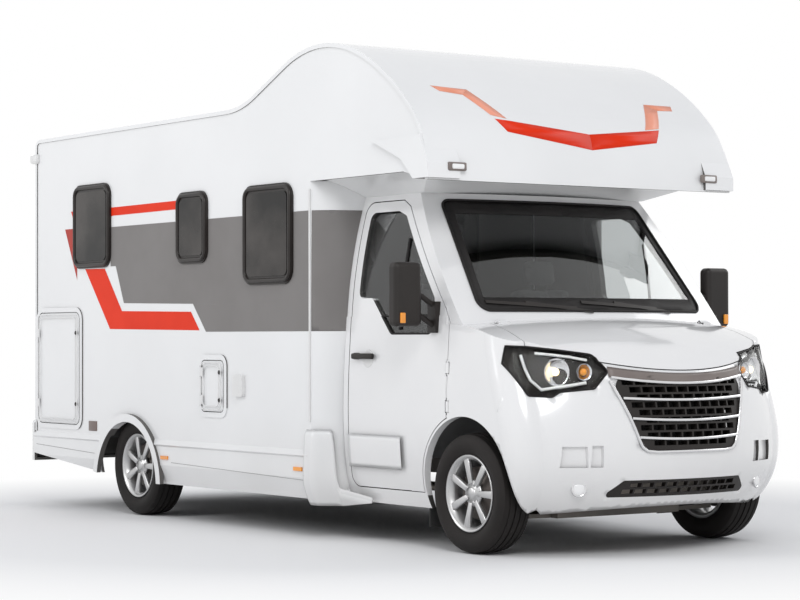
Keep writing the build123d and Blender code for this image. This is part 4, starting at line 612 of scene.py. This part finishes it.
# Cab glass: a clear laminated screen, bonded in behind a black printed border, and toughened door windows
# in rubber channels with an upright divider bar.
def clear_glass(name, colour, rough, bend=1.45):
    look = bpy.data.materials.new(name)
    look.use_nodes = True
    shader = look.node_tree.nodes["Principled BSDF"]
    shader.inputs["Base Color"].default_value = (*colour, 1)
    shader.inputs["Roughness"].default_value = rough
    shader.inputs["IOR"].default_value = bend
    shader.inputs["Transmission Weight"].default_value = 1.0
    return look


cab_glass = clear_glass("cab_glass", (0.72, 0.74, 0.74), 0.0)
dress(cab_glass, "windscreen", "door_glass_right", "door_glass_left")


def outer_skin(node, keep):
    bm = bmesh.new()
    bm.from_mesh(nodes[node].data)
    bmesh.ops.remove_doubles(bm, verts=bm.verts, dist=1e-5)
    bmesh.ops.delete(bm, geom=[f for f in bm.faces if not keep(f)], context="FACES")
    return bm


def rim_points(bm, lift):
    edges = {e for e in bm.edges if e.is_boundary}
    first = min(edges, key=lambda e: e.index)
    edges.remove(first)
    trail = [first.verts[0], first.verts[1]]
    while trail[-1] is not trail[0]:
        step = next((e for e in trail[-1].link_edges if e in edges), None)
        if step is None:
            break
        edges.remove(step)
        trail.append(step.other_vert(trail[-1]))
    return [v.co + Vector(lift) for v in trail[:-1]]


FRIT_LOW_Z, FRIT_HIGH_Z, FRIT_LOW_Y, FRIT_HIGH_Y = 1.452, 1.955, 0.785, 0.700
FRIT = (
    (FRIT_LOW_Y, FRIT_LOW_Z), (FRIT_HIGH_Y, FRIT_HIGH_Z),
    (-FRIT_HIGH_Y, FRIT_HIGH_Z), (-FRIT_LOW_Y, FRIT_LOW_Z),
)
bm = outer_skin("windscreen", lambda f: f.normal.x > 0.2 and f.normal.z > 0.05)
bm.normal_update()
seal = rim_points(bm, (0.004, 0, 0.004))
for a, b in zip(FRIT, FRIT[1:] + FRIT[:1]):
    bmesh.ops.bisect_plane(
        bm,
        geom=bm.verts[:] + bm.edges[:] + bm.faces[:],
        dist=1e-6,
        plane_co=(0, a[0], a[1]),
        plane_no=(0, b[1] - a[1], a[0] - b[0]),
    )


def inside_frit(face):
    at = face.calc_center_median()
    share = (at.z - FRIT_LOW_Z) / (FRIT_HIGH_Z - FRIT_LOW_Z)
    half = FRIT_LOW_Y + (FRIT_HIGH_Y - FRIT_LOW_Y) * share
    return FRIT_LOW_Z < at.z < FRIT_HIGH_Z and abs(at.y) < half


bmesh.ops.delete(bm, geom=[f for f in bm.faces if inside_frit(f)], context="FACES")
for v in bm.verts:
    v.co += Vector((0.0012, 0, 0.0012))
bmesh.ops.solidify(bm, geom=bm.faces[:], thickness=0.0006)
bmesh.ops.recalc_face_normals(bm, faces=bm.faces[:])
add_piece("screen_border", bm, "coach", seal_rubber)
bead("screen_seal", seal, 0.007, "coach", seal_rubber, closed=True)
for side, sign in SIDES:
    bm = outer_skin("door_glass_" + side, lambda f: f.normal.y * sign > 0.5)
    loop = rim_points(bm, (0, sign * 0.003, 0))
    bm.free()
    bead("door_seal_" + side, loop, 0.012, "cab_door_" + side, seal_rubber, closed=True)
    pane = surface("door_glass_" + side)
    bar = []
    for z in (1.27, 1.45, 1.63, 1.81, 1.94):
        hit = pane.ray_cast(Vector((1.555, sign * BESIDE_Y, z)), Vector((0, -sign, 0)))[0]
        if hit:
            bar.append(hit + Vector((0, sign * 0.004, 0)))
    bead("door_divider_" + side, bar, 0.010, "cab_door_" + side, seal_rubber)

# Nose: a grey strip under the bonnet edge, four chromed bars across the mesh and a chromed surround
# that runs down both sides of the grille. All are clipped to the moulded grille and follow its bow.
AHEAD_X = 3.4
BACKWARD = Vector((-1, 0, 0))
BAR_STEPS = 28
BAR_R = 0.009
BAR_LIFT = 0.006
nose = surface("front_bumper", "grille", "bonnet", "headlamps")


def nose_at(y, z, lift=0.0):
    reach = [nose.ray_cast(Vector((AHEAD_X, y, z + 0.0055 * k)), BACKWARD)[0] for k in range(-4, 5)]
    return Vector((max(hit.x for hit in reach if hit) + lift, y, z))


def nose_sheet(bm, half_y, low, high, lift, thick):
    made = bmesh.ops.create_grid(bm, x_segments=28, y_segments=3, size=1.0)["verts"]
    for v in made:
        y = half_y * v.co.x
        share = (v.co.y + 1) / 2
        v.co = nose_at(y, low(y) + (high(y) - low(y)) * share, lift)
    bmesh.ops.solidify(bm, geom=[f for f in bm.faces if f.verts[0] in set(made)], thickness=thick)


strip_grey = finish("grille_strip_grey", (0.17, 0.14, 0.13), (0.21, 0.18, 0.165), 0.3, 0.42)
# A dark rubber sheet 75 mm behind the grille mesh: painted shade in the grille's openings.
bm = bmesh.new()
nose_sheet(bm, 0.34, lambda y: 0.60, lambda y: 0.97, -0.075, 0.004)
add_piece("grille_shade_sheet", smooth(bm), "coach", seal_rubber)
bm = bmesh.new()
nose_sheet(
    bm, 0.495,
    lambda y: 0.974 + 0.034 * (y / 0.5) ** 2,
    lambda y: 1.022 + 0.045 * (y / 0.53) ** 2,
    0.004, 0.004,
)
add_piece("grille_strip", smooth(bm), "coach", strip_grey)
for label, z, rise, half_y in (
    ("top", 0.966, 0.036, 0.485),
    ("upper", 0.873, 0.013, 0.436),
    ("middle", 0.760, 0.014, 0.398),
    ("lower", 0.656, 0.013, 0.362),
):
    ys = [half_y * (2 * k / BAR_STEPS - 1) for k in range(BAR_STEPS + 1)]
    bar = [nose_at(y, z + rise * (y / half_y) ** 2, BAR_LIFT) for y in ys]
    bead("grille_bar_" + label, bar, BAR_R, "coach", bright_chrome)
edge = [
    (0.492, 0.985), (0.470, 0.925), (0.442, 0.860), (0.414, 0.790),
    (0.388, 0.720), (0.364, 0.655), (0.345, 0.615), (0.315, 0.593),
]
edge += [(0.315 * (1 - k / 5), 0.586) for k in range(1, 5)]
surround = [nose_at(y, z, BAR_LIFT) for y, z in edge]
surround += [nose_at(-y, z, BAR_LIFT) for y, z in reversed(edge)]
bead("grille_surround", surround, BAR_R, "coach", bright_chrome)

# Headlamps: clear moulded lenses over a black tray, with a bright bowl and bulb, a white light guide
# round the outer and lower edge, and a thin rubber line where lens and body meet.
lamp_lens = clear_glass("lamp_lens", (0.96, 0.97, 0.97), 0.0, 1.12)
bulb_glow = finish(
    "bulb_warm", (1.0, 0.86, 0.6), (1.0, 0.82, 0.52), 0.2, 0.3,
    {"Emission Color": (1.0, 0.83, 0.55, 1), "Emission Strength": 1.6},
)
guide_white = finish("light_guide", (0.86, 0.86, 0.86), (0.82, 0.82, 0.82), 0.2, 0.3, {"Coat Weight": 0.4})
amber_lens = finish("amber_lens", (0.9, 0.33, 0.02), (0.8, 0.27, 0.02), 0.08, 0.15, {"Coat Weight": 0.6})
LAMP_BACK_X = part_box("headlamps")[0][0] + 0.004
TRAY_DEPTH = 0.045
GUIDE_LINE = (
    (0.60, 0.972), (0.68, 0.958), (0.76, 0.945), (0.82, 0.935),
    (0.86, 0.985), (0.875, 1.05), (0.885, 1.125),
)
BROW_LINE = ((0.58, 1.095), (0.66, 1.112), (0.74, 1.124), (0.82, 1.134))
lamps = surface("headlamps")


def behind_lens(y, z, depth):
    hit = lamps.ray_cast(Vector((AHEAD_X, y, z)), BACKWARD)[0]
    return hit - Vector((depth, 0, 0)) if hit else None


for side, sign in SIDES:
    bm = outer_skin("headlamps", lambda f: f.normal.x > 0.01 and f.calc_center_median().y * sign > 0)
    outline = rim_points(bm, (0.002, 0, 0))
    tray = bm.copy()
    bmesh.ops.solidify(bm, geom=bm.faces[:], thickness=0.003)
    lens = add_piece("lamp_lens_" + side, smooth(bm), "coach", lamp_lens)
    if sign < 0:
        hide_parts("headlamps")
    walls = bmesh.ops.extrude_edge_only(tray, edges=[e for e in tray.edges if e.is_boundary])["geom"]
    front = [v for v in walls if isinstance(v, bmesh.types.BMVert)]
    back = [v for v in tray.verts if v not in set(front)]
    bmesh.ops.translate(tray, vec=(-TRAY_DEPTH, 0, 0), verts=back)
    bmesh.ops.translate(tray, vec=(-0.004, 0, 0), verts=front)
    for v in tray.verts:
        v.co.x = max(v.co.x, LAMP_BACK_X)
    add_piece("lamp_tray_" + side, smooth(tray), "coach", trim_plastic)
    bead("lamp_seal_" + side, outline, 0.005, "coach", seal_rubber, closed=True)
    facing = (1, sign * 0.25, 0)
    for label, y, z, size in (("main", 0.735, 1.03, 0.074), ("inner", 0.60, 1.03, 0.045)):
        bm = bmesh.new()
        turned(
            bm,
            ((0, -0.006), (size * 0.5, -0.004), (size * 0.85, 0.010), (size, 0.024), (size * 1.04, 0.024)),
            behind_lens(sign * y, z, 0.036), facing,
        )
        add_piece("lamp_bowl_%s_%s" % (label, side), smooth(bm), "coach", bright_chrome)
        bm = bmesh.new()
        turned(
            bm,
            ((0, 0.014), (0.012, 0.012), (0.02, 0.004), (0.022, -0.006), (0, -0.006)),
            behind_lens(sign * y, z, 0.028), facing, 20,
        )
        look = bulb_glow if label == "main" else amber_lens
        add_piece("lamp_bulb_%s_%s" % (label, side), smooth(bm), "coach", look)
    for label, line, depth, radius in (
        ("guide", GUIDE_LINE, 0.022, 0.009),
        ("brow", BROW_LINE, 0.018, 0.008),
    ):
        found = [behind_lens(sign * y, z, depth) for y, z in line]
        points = [point for point in found if point]
        bead("lamp_%s_%s" % (label, side), points, radius, "coach", guide_white)

# Bumper: a white plastic moulding with a split air scoop and a shallow fog lamp pod sunk in each corner.
# The copy of the bumper is cut by blocks whose backs follow the nose, and round fog lamps sit in rings.
bm = bmesh.new()
for sign in (-1, 1):
    for mid_y, half_y, low, high, depth in (
        (0.594, 0.034, 0.506, 0.626, 0.024),
        (0.712, 0.072, 0.506, 0.622, 0.024),
        (0.668, 0.112, 0.333, 0.446, 0.008),
    ):
        made = bmesh.ops.create_grid(bm, x_segments=12, y_segments=6, size=1.0)["verts"]
        for v in made:
            share = (v.co.y + 1) / 2
            y = mid_y + half_y * (1 - 0.12 * share) * v.co.x
            v.co = nose_at(sign * y, low + (high - low) * share, -depth)
        faces = [f for f in bm.faces if f.verts[0] in set(made)]
        grown = bmesh.ops.extrude_face_region(bm, geom=faces, use_keep_orig=True)["geom"]
        ahead_verts = [v for v in grown if isinstance(v, bmesh.types.BMVert)]
        bmesh.ops.translate(bm, vec=(0.08, 0, 0), verts=ahead_verts)
bmesh.ops.recalc_face_normals(bm, faces=bm.faces[:])
cut_mesh = bpy.data.meshes.new("pocket_blocks")
bm.to_mesh(cut_mesh)
bm.free()
pockets = bpy.data.objects.new("pocket_blocks", cut_mesh)
scene.collection.objects.link(pockets)
bm = bmesh.new()
bm.from_mesh(nodes["front_bumper"].data)
bmesh.ops.remove_doubles(bm, verts=bm.verts, dist=1e-5)
whole = bpy.data.meshes.new("bumper_whole")
bm.to_mesh(whole)
bm.free()
carved = bpy.data.objects.new("bumper_whole", whole)
scene.collection.objects.link(carved)
cut = carved.modifiers.new("pockets", "BOOLEAN")
cut.operation = "DIFFERENCE"
cut.solver = "EXACT"
cut.object = pockets
solved = carved.evaluated_get(bpy.context.evaluated_depsgraph_get())
bumper_mesh = bpy.data.meshes.new_from_object(solved)
bpy.data.objects.remove(carved)
bpy.data.objects.remove(pockets)
bumper = add_piece("bumper_moulding", bumper_mesh, "coach", cab_paint)
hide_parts("front_bumper")
for side, sign in SIDES:
    at = nose_at(sign * 0.667, 0.386, -0.006)
    facing = (1, sign * 0.45, 0)
    bm = bmesh.new()
    turned(
        bm,
        ((0.036, -0.01), (0.044, 0.0), (0.043, 0.006), (0.038, 0.007), (0.034, 0.002)),
        at, facing,
    )
    add_piece("fog_ring_" + side, smooth(bm), "coach", bright_chrome)
    bm = bmesh.new()
    turned(
        bm,
        ((0, 0.010), (0.018, 0.009), (0.032, 0.005), (0.037, 0.0), (0.037, -0.008), (0, -0.008)),
        at, facing,
    )
    add_piece("fog_lens_" + side, smooth(bm), "coach", guide_white)

# Cab doors: black plastic pull handles over a round finger recess, and a raised rub block in body colour,
# clipped on low down along each door.
for side, sign in SIDES:
    door = surface("cab_door_" + side)
    body = "cab_door_" + side

    def door_at(x, z, lift=0.0):
        hit = door.ray_cast(Vector((x, sign * BESIDE_Y, z)), Vector((0, -sign, 0)))[0]
        return (hit or Vector((x, sign * 1.0, z))) + Vector((0, sign * lift, 0))

    at = door_at(1.255, 1.097)
    bm = bmesh.new()
    turned(bm, ((0, 0.0015), (0.045, 0.002), (0.053, 0.003), (0.055, 0.0), (0, -0.002)), at, (0, sign, 0))
    add_piece("handle_recess_" + side, smooth(bm), body, white_plastic)
    bm = bmesh.new()
    block(bm, door_at(1.225, 1.112, 0.022), (0.225, 0.022, 0.034), 0.009)
    block(bm, door_at(1.14, 1.112, 0.008), (0.05, 0.026, 0.04), 0.008)
    add_piece("door_handle_" + side, smooth(bm), body, trim_plastic)
    bm = bmesh.new()
    made = bmesh.ops.create_grid(bm, x_segments=18, y_segments=6, size=1.0)["verts"]
    for v in made:
        v.co = door_at(1.345 + 0.275 * v.co.x, 0.559 + 0.085 * v.co.y, 0.020)
    bmesh.ops.solidify(bm, geom=bm.faces[:], thickness=0.026)
    add_piece("rub_block_" + side, smooth(bm), body, cab_paint)

# Door mirrors: grained plastic housings on two arms, with silvered glass held in behind and an amber
# indicator set into the outer corner.
silvering = finish(
    "mirror_silver", (0.62, 0.64, 0.66), (0.6, 0.62, 0.64), 0.02, 0.05, {"Metallic": 1.0}, bump=0.0
)
for side, sign in SIDES:
    body = "cab_door_" + side
    low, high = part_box("mirror_" + side)
    out_y = max(abs(low[1]), abs(high[1]))
    bm = bmesh.new()
    block(bm, (low[0] - 0.001, sign * (out_y - 0.095), 1.47), (0.006, 0.15, 0.29), 0.002)
    add_piece("mirror_glass_" + side, smooth(bm), body, silvering)
    bm = bmesh.new()
    block(bm, (high[0] - 0.004, sign * (out_y - 0.045), 1.335), (0.014, 0.034, 0.060), 0.005)
    add_piece("mirror_indicator_" + side, smooth(bm), body, amber_lens)

# Overcab lamps: pale marker lenses in grey plastic seats, screwed to the front of the overcab near its
# lower corners.
OVERCAB_LAMP_Y, OVERCAB_LAMP_Z = 0.964, 2.198
overcab = surface("alcove_corners", "alcove_underside", "roof_panel")
for side, sign in SIDES:
    at = overcab.ray_cast(Vector((AHEAD_X, sign * OVERCAB_LAMP_Y, OVERCAB_LAMP_Z)), BACKWARD)[0]
    bm = bmesh.new()
    block(bm, at, (0.024, 0.13, 0.05), 0.010)
    add_piece("overcab_lamp_seat_" + side, smooth(bm), "coach", strip_grey)
    bm = bmesh.new()
    block(bm, at + Vector((0.010, 0, 0)), (0.022, 0.085, 0.030), 0.009)
    add_piece("overcab_lamp_" + side, smooth(bm), "coach", guide_white)

# Lamps on the tail and sides: upright red clusters with an amber band, and amber markers along the skirts,
# all of coloured acrylic and screwed on.
red_lens = finish("red_lens", (0.5, 0.015, 0.012), (0.42, 0.01, 0.01), 0.08, 0.15, {"Coat Weight": 0.6})
dress(red_lens, "rear_lamps")
dress(amber_lens, "marker_lamps")
for side, sign in SIDES:
    band = [(sign * 0.965, 0.98), (sign * 1.075, 0.98), (sign * 1.075, 1.07), (sign * 0.965, 1.07)]
    film("tail_amber_" + side, "rear_lamps", "coach", band, "front", (-1, 0, 0), amber_lens, 0.002, 0.001)

# Wheels: cast alloy rims with seven spokes, five bolts and a centre cap over a steel brake disc, in
# treaded rubber tyres.
SPOKES = 7
BOLTS = 5
RIM_R = 0.219
SPOKE_SIZE = (0.146, 0.046, 0.026)
SPOKE_R, SPOKE_T = 0.126, -0.026
BOLT_R = 0.053
AXIS = (0, 0, 1)
alloy = finish(
    "silver_alloy", (0.55, 0.55, 0.55), (0.5, 0.5, 0.5), 0.25, 0.38,
    {"Metallic": 0.85, "Coat Weight": 0.3},
)
disc_steel = finish("brake_disc_steel", (0.10, 0.095, 0.09), (0.14, 0.12, 0.11), 0.45, 0.6, {"Metallic": 0.7})
tyre_rubber = finish(
    "tyre_rubber", (0.011, 0.0095, 0.009), (0.020, 0.017, 0.016), 0.6, 0.8,
    {"Specular IOR Level": 0.25}, bump=0.3, fine=350.0,
)
for place in ("front_right", "front_left", "rear_right", "rear_left"):
    low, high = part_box("rim_" + place)
    sign = -1 if place.endswith("right") else 1
    width = high[1] - low[1]
    hub = Vector(((low[0] + high[0]) / 2, high[1] if sign > 0 else low[1], (low[2] + high[2]) / 2))
    bm = bmesh.new()
    made = bmesh.ops.create_cube(bm, size=1.0)["verts"]
    bmesh.ops.scale(bm, vec=SPOKE_SIZE, verts=made)
    bmesh.ops.translate(bm, vec=(SPOKE_R, 0, SPOKE_T), verts=made)
    for v in made:
        if v.co.x < SPOKE_R:
            v.co.z -= 0.006
            v.co.y *= 0.72
    rims = list({e for v in made for e in v.link_edges})
    bmesh.ops.bevel(bm, geom=rims, offset=0.006, affect="EDGES", segments=2, profile=0.5, material=-1)
    bmesh.ops.spin(
        bm, geom=bm.verts[:] + bm.edges[:] + bm.faces[:], cent=(0, 0, 0), axis=AXIS,
        angle=2 * pi * (SPOKES - 1) / SPOKES, steps=SPOKES - 1, use_duplicate=True,
    )
    for v in bm.verts:
        v.tag = True
    turned(
        bm,
        (
            (RIM_R, -0.001), (RIM_R, -0.012), (0.205, -0.018), (0.198, -0.030),
            (0.198, -width + 0.03), (RIM_R, -width + 0.01), (RIM_R, -width), (0.190, -width + 0.012),
            (0.190, -0.022), (0.205, -0.008), (0.212, -0.001), (RIM_R, -0.001),
        ),
        (0, 0, 0), AXIS, 56,
    )
    turned(
        bm,
        (
            (0, -0.016), (0.030, -0.016), (0.034, -0.020), (0.036, -0.026),
            (0.068, -0.028), (0.076, -0.036), (0.074, -0.05), (0, -0.05),
        ),
        (0, 0, 0), AXIS, 40,
    )
    for k in range(BOLTS):
        angle = 2 * pi * k / BOLTS
        turned(
            bm,
            ((0, 0.006), (0.008, 0.006), (0.0095, 0.0045), (0.0095, -0.006), (0, -0.006)),
            (BOLT_R * cos(angle), BOLT_R * sin(angle), -0.026), AXIS, 6,
        )
    turn = Vector((0, sign, 0)).to_track_quat("Z", "Y").to_matrix().to_4x4()
    bmesh.ops.transform(bm, matrix=Matrix.Translation(hub) @ turn, verts=bm.verts[:])
    piece = add_piece("alloy_wheel_" + place, smooth(bm), "wheel_" + place, alloy)
    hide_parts("rim_" + place)
    bm = bmesh.new()
    turned(
        bm,
        (
            (0, 0.0), (0.07, 0.0), (0.072, -0.008), (0.150, -0.010),
            (0.152, -0.016), (0.150, -0.022), (0, -0.022),
        ),
        hub - Vector((0, sign * 0.062, 0)), (0, sign, 0), 40,
    )
    add_piece("brake_disc_" + place, smooth(bm), "wheel_" + place, disc_steel)
    dress(tyre_rubber, "tyre_" + place)

# Cabin: grey vinyl on the floor and two cloth seats on plastic boxes, each a stuffed cushion, backrest and
# headrest. Each pad is blown up by a cloth run from a rounded block and copied to both seats.
SEAT_Y = 0.43
vinyl = finish("vinyl_floor", (0.12, 0.12, 0.12), (0.15, 0.15, 0.15), 0.5, 0.7, fine=300.0)
dress(vinyl, "cab_floor", "floor_panel")
seat_cloth = finish("seat_cloth", (0.05, 0.05, 0.052), (0.07, 0.07, 0.072), 0.8, 0.95, bump=0.4, fine=600.0)
PADS = (
    ("cushion", (1.335, 0.0, 0.945), (0.50, 0.44, 0.13), 0.0),
    ("backrest", (1.125, 0.0, 1.275), (0.13, 0.42, 0.50), -8.0),
    ("headrest", (1.085, 0.0, 1.630), (0.08, 0.22, 0.15), -8.0),
)
SWELL = 0.022
VOXEL = 0.006
LAST_FRAME = 20
for label, centre, size, lean in PADS:
    bm = bmesh.new()
    block(bm, (0, 0, 0), size, 0.03)
    bmesh.ops.transform(
        bm, matrix=Matrix.Translation(centre) @ Matrix.Rotation(radians(lean), 4, "Y"), verts=bm.verts[:]
    )
    mesh = bpy.data.meshes.new("pad_start")
    smooth(bm).to_mesh(mesh)
    bm.free()
    pad = bpy.data.objects.new("pad_start", mesh)
    scene.collection.objects.link(pad)
    remesh = pad.modifiers.new("voxels", "REMESH")
    remesh.mode = "VOXEL"
    remesh.voxel_size = VOXEL
    solved = pad.evaluated_get(bpy.context.evaluated_depsgraph_get())
    even = bpy.data.meshes.new_from_object(solved)
    pad.modifiers.clear()
    pad.data = even
    start = [v.co.copy() for v in even.vertices]
    cloth = pad.modifiers.new("stuffing", "CLOTH")
    cloth.settings.use_pressure = True
    cloth.settings.uniform_pressure_force = 4.0
    cloth.settings.effector_weights.gravity = 0.0
    for count in range(1, LAST_FRAME + 1):
        scene.frame_set(count)
    solved = pad.evaluated_get(bpy.context.evaluated_depsgraph_get())
    swollen = bpy.data.meshes.new_from_object(solved)
    pad.modifiers.clear()
    pad.data = swollen
    for v, rest in zip(swollen.vertices, start):
        move = v.co - rest
        if move.length > SWELL:
            v.co = rest + move.normalized() * SWELL
    scene.frame_set(1)
    for side, sign in SIDES:
        bm = bmesh.new()
        bm.from_mesh(pad.data)
        bmesh.ops.translate(bm, vec=(0, sign * SEAT_Y, 0), verts=bm.verts[:])
        piece = add_piece("seat_%s_%s" % (label, side), smooth(bm), "coach", seat_cloth)
        if label == "cushion" and sign < 0:
            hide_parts("cab_seats")
    bpy.data.objects.remove(pad)
seat_base = finish(
    "seat_base_plastic", (0.03, 0.03, 0.032), (0.045, 0.044, 0.046), 0.5, 0.7, fine=350.0, bump=0.2
)
for side, sign in SIDES:
    bm = bmesh.new()
    block(bm, (1.325, sign * SEAT_Y, 0.715), (0.46, 0.40, 0.30), 0.03)
    for y in (-0.06, 0.06):
        block(bm, (1.095, sign * SEAT_Y + y, 1.545), (0.014, 0.014, 0.14), 0.004)
    add_piece("seat_base_" + side, smooth(bm), "coach", seat_base)

# Running gear: welded chassis rails, axles, struts and tanks in black paint under road dust, bare steel on
# the exhaust and the engine, and rubber mudflaps bolted on behind the wheels.
chassis_paint = finish(
    "chassis_paint", (0.02, 0.02, 0.021), (0.035, 0.033, 0.031), 0.45, 0.7,
    dust=0.8, fine=150.0, bump=0.2,
)
dress(
    chassis_paint, "chassis_frame", "front_subframe", "front_struts", "strut_towers", "rear_axle",
    "knuckle_right", "knuckle_left", "tanks",
)
exhaust_steel = finish("exhaust_steel", (0.22, 0.2, 0.18), (0.3, 0.27, 0.24), 0.4, 0.6, {"Metallic": 0.8})
dress(exhaust_steel, "exhaust", "engine_block")
flap_rubber = finish("flap_rubber", (0.018, 0.018, 0.018), (0.03, 0.03, 0.03), 0.7, 0.9)
dress(flap_rubber, "mudflaps")
